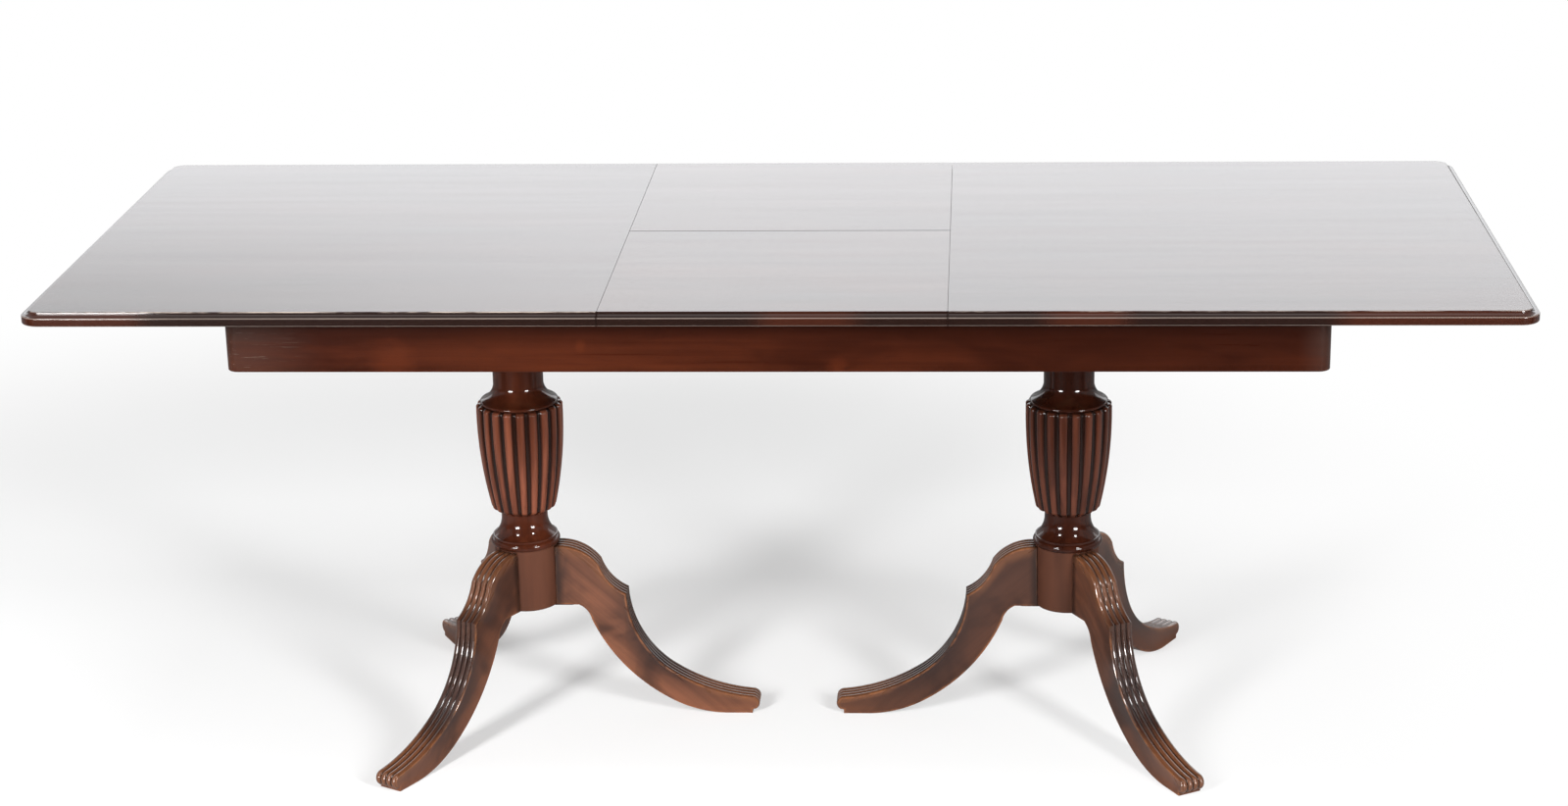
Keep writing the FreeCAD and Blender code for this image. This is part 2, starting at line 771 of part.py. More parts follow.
def moved_edge(distance):
    """Upper edge of the leg moved into it by a distance, as a start and arc steps."""
    arcs = leg_top_arcs()
    joints = [shifted(arcs[0][0], circle_through(*arcs[0][:3])[0], distance, arcs[0][3])]
    joints += [meeting(before, after, distance) for before, after in zip(arcs, arcs[1:])]
    joints.append(shifted(arcs[-1][2], circle_through(*arcs[-1][:3])[0], distance, arcs[-1][3]))
    middles = [shifted(arc[1], circle_through(*arc[:3])[0], distance, arc[3]) for arc in arcs]
    return joints, middles


def leg_profile():
    """Side view of the sabre leg, from its seat over the knee to the toe and back underneath."""
    arcs = leg_top_arcs()
    toe = arcs[-1][2]
    quirk = (size.sole_end_reach + (size.nose_reach - size.sole_end_reach) / 2, size.quirk_height)
    nose = within(toe, (size.nose_reach, size.quirk_height), NOSE_SHARES)
    sole, calf = (size.sole_start_reach, 0.0), (size.calf_reach, size.calf_height)
    crook, start = (size.crook_reach, size.crook_height), (size.crook_start_reach, size.block_bottom)
    return arcs[0][0], [(middle, end) for _, middle, end, _ in arcs] + [
        (nose, quirk),
        (size.sole_end_reach, size.quirk_height),
        (size.sole_end_reach, 0.0),
        sole,
        (within(sole, calf, SOLE_SHARES), calf),
        (within(crook, calf, CALF_SHARES), crook),
        (within(start, crook, CROOK_SHARES), start),
        (size.seat_reach, size.block_bottom),
    ]


def make_leg(label, centre, turn):
    """Sabre leg along X: a plank shape with a reeded upper edge and a dovetail for the block."""
    body = new_body(label)
    pad(body, draw(sketch(body, "XZ_Plane", "profile"), *leg_profile()), "leg_thickness", midplane=True)
    seat, deep = size.seat_reach, size.seat_reach - size.tail_length
    neck, width = size.tail_neck / 2, size.tail_width / 2
    tail = sketch(body, "XY_Plane", "tail", size.block_bottom)
    draw(tail, (seat, -neck), [(seat, neck), (deep, width), (deep, -width)])
    pad(body, tail, "block_height - leg_top_room")
    pitch = size.leg_thickness / LEG_REEDS
    joints, middles = moved_edge(size.leg_groove_depth)
    outer_joints, outer_middles = moved_edge(-size.leg_groove_depth)
    out = list(zip(outer_middles, outer_joints[1:]))
    back = list(zip(reversed(middles), reversed(joints[:-1])))
    for number in range(1, LEG_REEDS):
        across = number * pitch - size.leg_thickness / 2
        groove = sketch(body, "XZ_Plane", f"groove_{number}", across)
        draw(groove, outer_joints[0], out + [joints[-1]] + back)
        pocket(body, groove, "leg_groove_width", midplane=True)
    bore = sketch(body, "XY_Plane", "bore", size.block_bottom)
    ring_of(bore, [(size.brace_screw_reach, 0.0)], size.screw_bore / 2)
    pocket(body, bore, "screw_bite", reverse=True)
    return place(body, along=centre, turn=turn)


def make_brace(label, centre, turn):
    """Steel plate under the block, with an arm under each leg."""
    body = new_body(label)
    hub = sketch(body, "XY_Plane", "hub", size.brace_bottom)
    pad(body, ring_of(hub, [(0.0, 0.0)], size.brace_hub_radius), "brace_thickness")
    half = size.brace_arm_width / 2
    reach = size.brace_arm_reach - half
    outline = [(reach, -half), ((size.brace_arm_reach, 0.0), (reach, half)), (0.0, half)]
    arm = draw(sketch(body, "XY_Plane", "arm", size.brace_bottom), (0.0, -half), outline)
    ring_of(arm, [(size.brace_screw_reach, 0.0)], size.screw_bore / 2)
    polar(body, pad(body, arm, "brace_thickness"), LEG_COUNT)
    return place(body, along=centre, turn=turn)


def make_brace_screws(label, centre, turn):
    screws = []
    for number in range(LEG_COUNT):
        angle = math.radians(turn + number * 360.0 / LEG_COUNT)
        along, across = (size.brace_screw_reach * part for part in (math.cos(angle), math.sin(angle)))
        spot = (centre + along, across, size.brace_bottom)
        screws.append(make_screw("brace_screw", "brace_thickness + screw_bite - fit_clearance", *spot))
    return group(label, screws)


# Leaf lift

def make_well_bearer(label, direction):
    """Cross bar that carries the lift's shafts and the stowed leaf."""
    along = f"{direction} * well_bearer_spacing / 2 - well_bearer_width / 2"
    size_names = ("well_bearer_width", "cross_length", "well_bearer_height")
    bar = box(f"{label}_bar", *size_names, along, "-rail_inner", "well_bearer_bottom")
    bores = []
    for pin_place in ("front_pin_distance", "rear_pin_distance"):
        spot = (along, f"{pin_place} - arm_reach", "shaft_height")
        radius = "( shaft_diameter + shaft_clearance ) / 2"
        bores.append(rod("shaft_bore", radius, "well_bearer_width", *spot, ALONG_TABLE))
    return keep(cut(label, bar, bores), label)


def make_arm(label, direction, pin_place):
    """Flat lift arm with round ends, from its shaft to its pin under the leaf."""
    body = new_body(label)
    reach, rise, half = size.arm_reach, size.arm_rise, size.arm_width / 2
    share = half / math.hypot(reach, rise)
    along, across = (reach * share, rise * share), (-rise * share, reach * share)
    low_left, low_right = across, (-across[0], -across[1])
    high_left, high_right = (reach + across[0], rise + across[1]), (reach - across[0], rise - across[1])
    outline = sketch(body, "YZ_Plane", "outline")
    steps = [
        high_right,
        ((reach + along[0], rise + along[1]), high_left),
        low_left,
        ((-along[0], -along[1]), low_right),
    ]
    draw(outline, low_right, steps, closed=False)
    ring_of(outline, [(0.0, 0.0)], size.shaft_diameter / 2 + size.fit_clearance)
    ring_of(outline, [(reach, rise)], (size.pin_diameter + size.pin_clearance) / 2)
    pad(body, outline, "arm_thickness", midplane=True)
    return place(body, f"{direction} * arm_spacing / 2", f"{pin_place} - arm_reach", "shaft_height")


def make_bracket(direction, pin_place):
    """Bracket under the leaf: a screwed plate, a lug beside the arm and a pin through the arm."""
    plate_along = f"{direction} * lug_place - bracket_width / 2"
    plate = box("bracket_plate", "bracket_width", "bracket_length", "bracket_plate",
                plate_along, f"{pin_place} - bracket_length / 2", "underside - bracket_plate")
    lug_along = f"{direction} * lug_place - bracket_lug / 2"
    lug = box("bracket_lug", "bracket_lug", "arm_width", "pin_drop - bracket_plate",
              lug_along, f"{pin_place} - arm_width / 2", "pin_height")
    lug_end = (lug_along, pin_place, "pin_height")
    boss = rod("bracket_boss", "arm_width / 2", "bracket_lug", *lug_end, ALONG_TABLE)
    pin_length = "bracket_lug + arm_thickness + 2 * arm_side_room"
    pin_along = lug_along
    if direction < 0:
        pin_along = f"{lug_along} - arm_thickness - 2 * arm_side_room"
    pin = rod("bracket_pin", "pin_diameter / 2", pin_length, pin_along, pin_place, "pin_height", ALONG_TABLE)
    solid = fuse("bracket_solid", [plate, lug, boss, pin])
    bores = []
    for across in ("- bracket_screw_spacing / 2", "+ bracket_screw_spacing / 2"):
        spot = (f"{direction} * screw_row", pin_place + across, "underside - bracket_plate")
        bores.append(rod("bracket_bore", "screw_bore / 2", "bracket_plate", *spot))
    return cut("leaf_bracket", solid, bores)


def leaf_bores():
    """Screw holes in the rear half of the leaf for the four brackets."""
    bores = []
    for direction in (-1, 1):
        for pin_place in (size.front_pin_distance, size.rear_pin_distance):
            for across in (-size.bracket_screw_spacing / 2, size.bracket_screw_spacing / 2):
                bores.append((direction * size.screw_row, pin_place + across))
    return bores


def make_bracket_screws():
    height = size.underside - size.bracket_plate
    shank = "bracket_plate + screw_bite - fit_clearance"
    screws = [make_screw("bracket_screw", shank, *spot, height) for spot in leaf_bores()]
    return group("bracket_screws", screws)


def tongue_ring(inner, outer, width, start, sweep, along):
    """Part of a ring round the fold line, from a start angle below the rear half towards the front."""
    def at(radius, angle):
        across, up = radius * math.cos(math.radians(angle)), radius * math.sin(math.radians(angle))
        return Vector(along - width / 2, across, size.table_height + up)

    angles = (start, start - sweep / 2, start - sweep)
    outside = Part.Arc(*[at(outer, angle) for angle in angles]).toShape()
    inside = Part.Arc(*[at(inner, angle) for angle in angles]).toShape()
    ends = [Part.makeLine(at(inner, angle), at(outer, angle)) for angle in (angles[0], angles[-1])]
    wire = Part.Wire(Part.__sortEdges__([outside, inside] + ends))
    return Part.Face(wire).extrude(Vector(width, 0, 0))


def make_fold_hinges():
    """Concealed hinges: cups let into both halves, with curved tongues of the rear cups in the front ones."""
    low = size.table_height - size.hinge_cover - size.hinge_height
    half, fold = size.hinge_width / 2, size.fold_gap / 2
    cup_size = (size.hinge_width, size.hinge_depth - fold, size.hinge_height)
    inner, outer, width = size.tongue_inner, size.tongue_outer, size.tongue_width
    clear = size.tongue_clearance
    start, sweep = STRAIGHT_DOWN + TONGUE_SWEEP, 2 * TONGUE_SWEEP
    room_sweep = sweep + math.degrees(clear / inner)
    front_cups = []
    rear_cups = []
    for along in hinge_places():
        rear = Part.makeBox(*cup_size, Vector(along - half, fold, low))
        rear = rear.fuse(tongue_ring(inner, outer, width, start, sweep, along)).removeSplitter()
        front = Part.makeBox(*cup_size, Vector(along - half, -size.hinge_depth, low))
        room = tongue_ring(inner - clear, outer + clear, width + 2 * clear, start, room_sweep, along)
        front = front.cut(room)
        for shape, cups in ((front, front_cups), (rear, rear_cups)):
            cup = doc.addObject("Part::Feature", "hinge_cup")
            cup.Shape = shape
            cups.append(cup)
    group("fold_hinges_front", front_cups)
    group("fold_hinges_rear", rear_cups)


# The table, piece by piece

make_top("top_left", 180.0)
make_top("top_right", 0.0)
make_leaf("leaf_front", -1, [])
make_leaf("leaf_rear", 1, leaf_bores())
make_fold_hinges()

make_long_rail("front_rail", 0.0)
make_long_rail("rear_rail", 180.0)
make_end_rail("end_rail_left", "-apron_half_length")
make_end_rail("end_rail_right", "end_inner")
make_corner_blocks()

make_runner("runner_left_front", 1, 180.0)
make_runner("runner_left_rear", -1, 180.0)
make_runner("runner_right_front", -1, 0.0)
make_runner("runner_right_rear", 1, 0.0)
make_runner_screws("runner_screws_left", -1)
make_runner_screws("runner_screws_right", 1)

for side, direction, facing in (("left", -1, 0.0), ("right", 1, 180.0)):
    centre = f"{direction} * pedestal_spacing / 2"
    middle = direction * size.pedestal_spacing / 2
    bearer_halves = (size.bearer_width / 2, size.rail_inner)
    make_board(f"bearer_{side}", *bearer_halves, size.cleat_top, "bearer_height", centre)
    cleat_halves = (size.cleat_length / 2, size.cleat_width / 2)
    make_board(f"cleat_{side}", *cleat_halves, size.apron_bottom, "cleat_height", centre)
    make_bolts(side, middle)
    make_column(f"column_{side}", centre, facing)
    outward = 360.0 / LEG_COUNT
    make_leg(f"leg_{side}_inner", centre, facing)
    make_leg(f"leg_{side}_front", centre, facing + direction * outward)
    make_leg(f"leg_{side}_rear", centre, facing - direction * outward)
    make_brace(f"brace_plate_{side}", centre, facing)
    make_brace_screws(f"brace_screws_{side}", middle, facing)
    make_well_bearer(f"well_bearer_{side}", direction)

brackets = []
for row, pin_place in (("front", "front_pin_distance"), ("rear", "rear_pin_distance")):
    shaft = rod(f"{row}_shaft", "shaft_diameter / 2", "shaft_length", "-shaft_length / 2",
                f"{pin_place} - arm_reach", "shaft_height", ALONG_TABLE)
    keep(shaft, f"{row}_shaft")
    for side, direction in (("left", -1), ("right", 1)):
        make_arm(f"{row}_arm_{side}", direction, pin_place)
        brackets.append(make_bracket(direction, pin_place))
group("leaf_brackets", brackets)
make_bracket_screws()

doc.recompute()

# Every object has to be sound before anything is written
for piece in doc.Objects:
    if "Invalid" in piece.State or "Error" in piece.State:
        raise RuntimeError(f"{piece.Label} did not build: {piece.State}")
for piece in nodes:
    if piece.Shape.isNull() or not piece.Shape.isValid():
        raise RuntimeError(f"{piece.Label} has no sound shape")

os.makedirs("parts", exist_ok=True)
for piece in nodes:
    piece.Shape.exportStep(f"parts/{piece.Label}.step")
    print(piece.Label, len(piece.Shape.Solids), round(piece.Shape.Volume))
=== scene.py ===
import json
import math

import bmesh
import bpy
from bpy.props import FloatProperty, FloatVectorProperty, IntProperty, PointerProperty
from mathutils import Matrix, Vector


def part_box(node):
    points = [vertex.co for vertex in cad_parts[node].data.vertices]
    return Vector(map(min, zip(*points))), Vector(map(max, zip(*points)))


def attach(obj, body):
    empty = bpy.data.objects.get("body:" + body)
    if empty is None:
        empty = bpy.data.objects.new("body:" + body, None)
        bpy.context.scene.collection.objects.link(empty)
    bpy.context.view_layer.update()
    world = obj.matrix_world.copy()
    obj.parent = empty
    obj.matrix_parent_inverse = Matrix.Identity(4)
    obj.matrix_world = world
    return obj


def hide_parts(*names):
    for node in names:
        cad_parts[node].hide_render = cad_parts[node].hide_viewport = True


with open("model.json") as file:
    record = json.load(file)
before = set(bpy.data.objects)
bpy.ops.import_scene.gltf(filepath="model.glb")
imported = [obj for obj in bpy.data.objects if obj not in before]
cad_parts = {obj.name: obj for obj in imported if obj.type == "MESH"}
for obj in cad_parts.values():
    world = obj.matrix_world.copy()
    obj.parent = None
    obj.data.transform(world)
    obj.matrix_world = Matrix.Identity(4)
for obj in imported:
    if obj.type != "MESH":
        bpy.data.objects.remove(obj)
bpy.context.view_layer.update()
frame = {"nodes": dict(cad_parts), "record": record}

bl_info = {
    "name": "Double pedestal dining table",
    "version": (1, 0, 0),
    "blender": (4, 5, 0),
    "location": "View3D > Sidebar > Table",
    "description": "Dresses the dining table with moulded tops, turned columns and reeded sabre legs",
    "category": "Add Mesh",
}

# Which body carries each node, and which finish the record gives it
BODIES = frame["record"]["behaviour"]["bodies"]
BODY_OF = {node: body for body, nodes in BODIES.items() for node in nodes}
SLOT_OF = {part["node"]: part["material_slot"] for part in frame["record"]["subparts"]}

# Lowest and highest corners of the nodes that the pieces follow
TOP_LOW, TOP_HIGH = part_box("top_right")
LEAF_LOW, LEAF_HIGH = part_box("leaf_rear")
RAIL_LOW, RAIL_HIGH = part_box("front_rail")
END_LOW, END_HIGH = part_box("end_rail_right")
COLUMN_LOW, COLUMN_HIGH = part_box("column_right")
LEG_LOW, LEG_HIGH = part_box("leg_left_inner")
PEDESTAL = (COLUMN_LOW.x + COLUMN_HIGH.x) / 2

QUARTER_TURN = math.pi / 2
FULL_TURN = 2 * math.pi
ORIGIN = (0.0, 0.0, 0.0)
UPRIGHT = (0.0, 0.0, 1.0)
BLACK = (0.0, 0.0, 0.0)
MERGE_DISTANCE = 1e-6
SLACK = 1e-5
SMOOTH_ANGLE = math.radians(32)


def length(name, description, default):
    """A size in metres."""
    return FloatProperty(name=name, description=description, default=default, unit="LENGTH", precision=5)


def lengths(name, description, default):
    """Two sizes in metres: out from the axis and up from the floor, or width and height."""
    return FloatVectorProperty(name=name, description=description, default=default,
                               size=2, unit="LENGTH", precision=5)


def point(name, description, default):
    """A place in the room in metres."""
    return FloatVectorProperty(name=name, description=description, default=default,
                               subtype="XYZ", unit="LENGTH")


def level(name, description, default):
    """A strength of light."""
    return FloatProperty(name=name, description=description, default=default)


def portion(name, description, default):
    """A share from 0 to 1."""
    return FloatProperty(name=name, description=description, default=default,
                         min=0.0, max=1.0, subtype="FACTOR")


def lamp_power(name, description, default):
    """Power of a lamp in watts."""
    return FloatProperty(name=name, description=description, default=default, unit="POWER")


def millimetres(name, description, default):
    """A size in the camera."""
    return FloatProperty(name=name, description=description, default=default, unit="CAMERA")


def span(name, description, default):
    """Two numbers, such as the ends that a pattern leads between."""
    return FloatVectorProperty(name=name, description=description, default=default, size=2)


def count(name, description, default):
    """How often something repeats."""
    return IntProperty(name=name, description=description, default=default)


def colour(name, description, default):
    """A colour without its alpha."""
    return FloatVectorProperty(name=name, description=description, default=default, size=3, subtype="COLOR")


class TableTopSizes(bpy.types.PropertyGroup):
    """Sizes of the moulded tops, the leaf and the apron."""
    corner_radius: length("Corner radius", "Rounding of the table's corners in plan", 0.028)
    surface_inset: length("Surface inset", "From the outer edge in to the polished surface", 0.010)
    arris_radius: length("Surface arris", "Rounding at the edge of the polished surface", 0.0010)
    quirk_depth: length("Quirk", "Upright step under the surface", 0.0014)
    cove_width: length("Cove width", "Width of the hollow below the surface", 0.0066)
    cove_drop: length("Cove drop", "Depth of the hollow below the quirk", 0.0046)
    nose_radius: length("Nose radius", "Rounding at the top of the nose", 0.0016)
    under_radius: length("Under radius", "Rounding at the foot of the nose", 0.0024)
    seam_arris: length("Seam arris", "Worn rounding of the edges at the seams", 0.0008)
    seam_margin: length("Seam margin", "Width of the worn strip at the seams", 0.0020)
    apron_radius: length("Apron corner", "Rounding of the apron's upright corners", 0.017)
    apron_arris: length("Apron arris", "Rounding of the apron's long edges", 0.0014)
    groove_end_room: length("Groove end", "Solid rail past each end of the runners' groove", 0.057)
    groove_depth: length("Groove depth", "Depth of the runners' groove", 0.0075)
    groove_height: length("Groove height", "Height of the runners' groove", 0.009)
    groove_drop: length("Groove drop", "From the rail's top to the groove", 0.0092)
    hinge_width: length("Hinge width", "Width of a fold hinge's cup", 0.024)


class ColumnSizes(bpy.types.PropertyGroup):
    """Profile of the turned column: radii and heights above the floor."""
    block_radius: length("Block radius", "Plain block that carries the legs", 0.048)
    block_ease: length("Block ease", "Eased lower edge of the block", 0.0015)
    block_top: length("Block top", "Height of the block's top", 0.274)
    ring_radius: length("Ring radius", "Half-round ring on the block", 0.052)
    ring_top: length("Ring top", "Height of the ring's top", 0.2865)
    fillet_radius: length("Fillet radius", "Small flat above the ring", 0.0486)
    fillet_top: length("Fillet top", "Height of the fillet's top", 0.2895)
    spool_radius: length("Spool radius", "Foot of the hollow spool", 0.0468)
    spool_top: length("Spool top", "Where the spool runs into the lower neck", 0.318)
    lower_neck_radius: length("Lower neck", "Neck under the urn", 0.0347)
    lower_neck_top: length("Lower neck top", "Where the urn's foot starts", 0.326)
    urn_foot: lengths("Urn foot", "Underside of the reeds", (0.0415, 0.3315))
    urn_heel: lengths("Urn heel", "Where the reeds turn upright", (0.0490, 0.3380))
    urn_waist: lengths("Urn waist", "A point on the reeds' long curve", (0.0617, 0.4183))
    urn_shoulder: lengths("Urn shoulder", "Widest point of the reeds", (0.0644, 0.4915))
    urn_top: lengths("Urn top", "Upper end of the reeds", (0.0600, 0.4970))
    quirk_radius: length("Quirk radius", "Sunk line between the reeds and the bead", 0.0550)
    bead_radius: length("Bead radius", "Bead over the reeds", 0.0582)
    bead_bottom: length("Bead bottom", "Height of the bead's underside", 0.4975)
    bead_top: length("Bead top", "Height of the bead's top", 0.5030)
    cove_radius: length("Cove radius", "Wide end of the hollow over the bead", 0.0566)
    neck_radius: length("Neck radius", "Straight neck", 0.0375)
    cove_top: length("Cove top", "Where the hollow runs into the neck", 0.527)
    capital_bottom: length("Capital bottom", "Where the neck starts to flare", 0.6407)
    capital_radius: length("Capital radius", "Flare under the cleat", 0.046)
    capital_lip: length("Capital lip", "Flat edge of the flare", 0.003)
    tenon_radius: length("Tenon radius", "Tenon through the cleat and the bearer", 0.020)
    reed_count: count("Reeds", "Reeds round the urn", 20)
    reed_depth_share: portion("Groove depth", "Depth of the grooves over the urn's radius", 0.078)


class LegSizes(bpy.types.PropertyGroup):
    """Side view of the sabre leg: out from the column's axis and up from the floor."""
    thickness: length("Thickness", "Thickness of the leg", LEG_HIGH.y - LEG_LOW.y)
    root: lengths("Root", "Top of the leg inside the block", (0.0441, 0.2730))
    knee: lengths("Knee", "Foot of the rounded knee", (0.1120, 0.2430))
    beak: lengths("Beak", "Pointed step below the knee", (0.1525, 0.1960))
    shin: lengths("Shin", "Middle of the hollow front", (0.2130, 0.0750))
    toe: lengths("Toe", "Top of the toe", (0.3420, 0.0275))
    nose: lengths("Nose", "Foremost point of the toe", (0.3510, 0.0174))
    quirk: lengths("Quirk", "Foot of the rounded nose", (0.3455, 0.0060))
    sole_end: lengths("Sole end", "Front of the flat sole", (0.3400, 0.0))
    sole_start: lengths("Sole start", "Back of the flat sole", (0.2980, 0.0))
    calf: lengths("Calf", "Underside above the heel", (0.2140, 0.0240))
    crook: lengths("Crook", "Underside near the block", (0.0980, 0.1540))
    crook_start: lengths("Crook start", "Where the underside leaves the block", (0.0790, 0.1780))
    reed_count: count("Reeds", "Reeds along the upper edge", 4)
    reed_depth: length("Reed depth", "Depth of the grooves between the reeds", 0.0024)
    arris_radius: length("Arris", "Worn rounding of the lower edges", 0.0011)
    worn_width: length("Worn width", "How far wear reaches in on the flat sides", 0.0026)


class FinishColours(bpy.types.PropertyGroup):
    """Colours of the woods and metals."""
    top_dark: colour("Top, dark", "Dark grain of the tops", (0.008, 0.0019, 0.0011))
    top_light: colour("Top, light", "Light grain of the end tops", (0.036, 0.0090, 0.0046))
    leaf_light: colour("Leaf light", "Light grain of the leaf", (0.04656, 0.01304, 0.006016))
    apron_dark: colour("Apron, dark", "Dark grain of the apron", (0.014, 0.0026, 0.0010))
    apron_light: colour("Apron, light", "Light grain of the apron", (0.070, 0.0142, 0.0044))
    column_dark: colour("Column, dark", "Dark grain of the columns", (0.010, 0.0024, 0.0013))
    column_light: colour("Column, light", "Light grain of the columns", (0.082, 0.0190, 0.0078))
    crest: colour("Reed crests", "Faded crests of the urns' reeds", (0.198, 0.060, 0.032))
    block: colour("Block", "Plain blocks of the columns", (0.1165, 0.04196, 0.02163))
    leg_dark: colour("Leg, dark", "Dark grain of the legs", (0.043, 0.01648, 0.00994))
    leg_light: colour("Leg, light", "Light grain of the legs", (0.232, 0.082, 0.040))
    # Also the colour of the painted shade on the darker legs
    leg_smoke: colour("Leg smoke", "Dark clouds in the legs' polish", (0.022, 0.0092, 0.0066))
    crown: colour("Crown", "Crowns of the legs' reeds", (0.161, 0.0596, 0.0233))
    toe: colour("Toe", "Lighter wood of the toes", (0.2524, 0.0904, 0.040))
    warm: colour("Warm spots", "Thin polish on the apron and the edge", (0.115, 0.022, 0.006))
    # On the legs' arrises this lighter wood is partly a painted highlight
    worn: colour("Worn edge", "Polish worn through to lighter wood", (0.300, 0.110, 0.040))
    # Also the colour of the painted highlight lines on the nose and the painted sheen at the apron's ends
    scuff_and_highlight: colour("Scuffs", "Pale chips and scratches in the polish", (0.42, 0.35, 0.30))
    # Also the painted shade on the moulded edge of the tops
    grime: colour("Grime", "Dark polish left in grooves", (0.010, 0.0042, 0.0030))
    beech_dark: colour("Beech dark", "Dark grain of the frame wood", (0.165, 0.09075, 0.04675))
    beech_light: colour("Beech light", "Light grain of the frame wood", (0.300, 0.165, 0.085))
    steel: colour("Steel", "Zinc-plated steel", (0.50, 0.50, 0.51))
    lacquer: colour("Lacquer", "Dark lacquer of the brace plates", (0.020, 0.016, 0.014))
    brass: colour("Brass", "Brass of the fold hinges", (0.68, 0.48, 0.20))


class WearShares(bpy.types.PropertyGroup):
    """How strongly grime, smoke, wear, painted shade and painted highlights cover the wood."""
    pores: portion("Pores", "Dark pores of every wood", 0.35)
    # Painted shade on the moulded edge and the underside of the tops
    edge_painted_shade: portion("Edge grime", "Dark polish on the moulded edge", 0.90)
    nose_warmth: span("Nose warmth", "Thin polish on stretches of the nose", (0.06, 0.32))
    # Painted highlight lines on the nose's roundings
    nose_highlight: span("Nose line", "Light lines on the nose's roundings", (0.13, 0.36))
    seam_grime: portion("Seam grime", "Dirt in the seams", 0.95)
    apron_smoke: portion("Apron smoke", "Dark clouds on the apron", 0.55)
    apron_right: portion("Apron right", "Darkening towards the apron's right end", 0.50)
    # Painted shade under the top's overhang
    apron_upper: portion("Apron upper", "Darkening towards the apron's top", 0.75)
    apron_spots: portion("Apron spots", "Warm spots on the apron", 0.22)
    # Painted sheen on the apron's rounded ends
    apron_end_sheen: portion("Apron ends", "Pale bloom at both ends of the apron", 0.05)
    apron_scratches: portion("Apron scratches", "Scratches at the apron's left end", 0.22)
    reed_fading: span("Reed fading", "Faded crests of the urns' reeds", (0.22, 0.84))
    block_bloom: portion("Block bloom", "Pale bloom on the plain blocks", 0.03)
    # Share of the painted shade that darkens a column, on turned wood and on the block
    column_painted_shade: span("Column shade", "Share of a column's shade on turned wood and block", (1.0, 0.4))
    urn_grime: portion("Urn grime", "Dark polish in the urns' grooves", 0.88)
    leg_smoke: portion("Leg smoke", "Dark clouds on the legs", 0.70)
    toe_wear: portion("Toe wear", "Lighter wood towards the toes", 0.22)
    reed_shade: span("Reed shade", "Dark polish on the legs' reeds, off and on the shin", (0.30, 0.86))
    crown_wear: portion("Crown wear", "Rubbed reeds of knee and toe", 0.45)
    # Worn edges of the legs, partly a painted highlight
    arris_wear_and_highlight: portion("Arris wear", "Worn edges of the legs", 0.55)
    leg_grime: portion("Leg grime", "Dark polish in the legs' grooves", 0.90)
    root_grime: portion("Root grime", "Dark polish where a leg meets its block", 0.75)


class StageSettings(bpy.types.PropertyGroup):
    """Camera, floor and lights."""
    camera_place: point("Camera place", "Where the camera stands", (0.27494, -4.33894, 1.93045))
    camera_turn: FloatVectorProperty(name="Camera turn", description="How the camera is turned",
                                     default=[math.radians(angle) for angle in (71.5675, 0.7882, 2.3939)],
                                     subtype="EULER")
    lens: millimetres("Lens", "Focal length in millimetres", 70.56)
    sensor: millimetres("Sensor", "Width of the sensor in millimetres", 36.0)
    shift: span("Shift", "Shift of the picture, across and up", (-0.03726, 0.00483))
    floor_size: length("Floor size", "Side of the square floor", 24.0)
    floor_white: portion("Floor white", "Reflectance of the floor", 0.93)
    floor_roughness: portion("Floor roughness", "Roughness of the floor", 0.9)
    floor_mirrored: portion("Floor mirrored", "Floor in reflections", 0.35)
    floor_dim: portion("Floor dim", "Floor in reflections before the table", 0.02)
    dim_start: length("Dim start", "Place across where reflections of the floor start to dim", -0.3)
    dim_end: length("Dim end", "Place across where reflections of the floor are dim", -1.2)
    shade_middle: point("Shade middle", "Middle of the shaded part of the floor", (-0.60, 0.55, 0.0))
    white_start: length("White start", "From the middle to where the floor starts to whiten", 0.7)
    white_end: length("White end", "From the middle to where the floor is plain white", 2.0)
    floor_lift: portion("Floor lift", "Plain white in the floor near the table", 0.38)
    sky_light: level("Sky light", "Even light from all round", 0.30)
    sky_dim: level("Sky dim", "Sky in reflections before the table", 0.05)
    sky_mirrored: level("Sky mirrored", "What the sky behind the table adds in reflections", 0.45)
    ceiling: level("Ceiling", "What the sky over the table adds in reflections", 1.5)
    card_place: point("Card place", "White card behind the table", (0.0, 5.0, 2.3))
    card_size: lengths("Card size", "Width and height of the card", (14.0, 1.5))
    card_top: level("Card top", "Light at the card's top left", 1.48)
    card_foot: level("Card foot", "Light at the card's foot", 2.28)
    card_fall: span("Card fall", "Fall of the light at the top, on the right and on the left", (0.22, 1.0))
    side_card: level("Side cards", "Light of the cards beside the table", 0.45)
    overhead_power: lamp_power("Overhead", "Power of the overhead lamp", 45.0)
    left_power: lamp_power("Front left", "Power of the left front lamp", 130.0)
    right_power: lamp_power("Front right", "Power of the right front lamp", 98.0)
    upper_power: lamp_power("Upper", "Power of each upper front lamp", 75.0)
    strip_light: level("Strips", "Light of the strips seen in the polish", 70.0)


GROUPS = {
    "table_top_sizes": TableTopSizes,
    "table_column_sizes": ColumnSizes,
    "table_leg_sizes": LegSizes,
    "table_colours": FinishColours,
    "table_wear": WearShares,
    "table_stage": StageSettings,
}


# Points and shares

def between(ends, share):
    """A value between two ends, by a share or by a wire of shares."""
    start, end = ends
    return start + (end - start) * share


def within(start, end, shares):
    """Point at shares of the box from start to end."""
    return tuple(between(ends, share) for ends, share in zip(zip(start, end), shares))


def mixed(dark, light, share):
    """A colour between two colours."""
    return tuple(between(ends, share) for ends in zip(dark, light))


def ramp(value, ends):
    """0 up to the first end, 1 from the second, and even between them."""
    start, end = ends
    return min(max((value - start) / (end - start), 0.0), 1.0)


def inside(value, ends):
    return ends[0] < value < ends[1]


def near(value, target):
    return abs(value - target) < SLACK


def sweep(steps):
    """Angles of a quarter turn."""
    return [QUARTER_TURN * step / steps for step in range(steps + 1)]


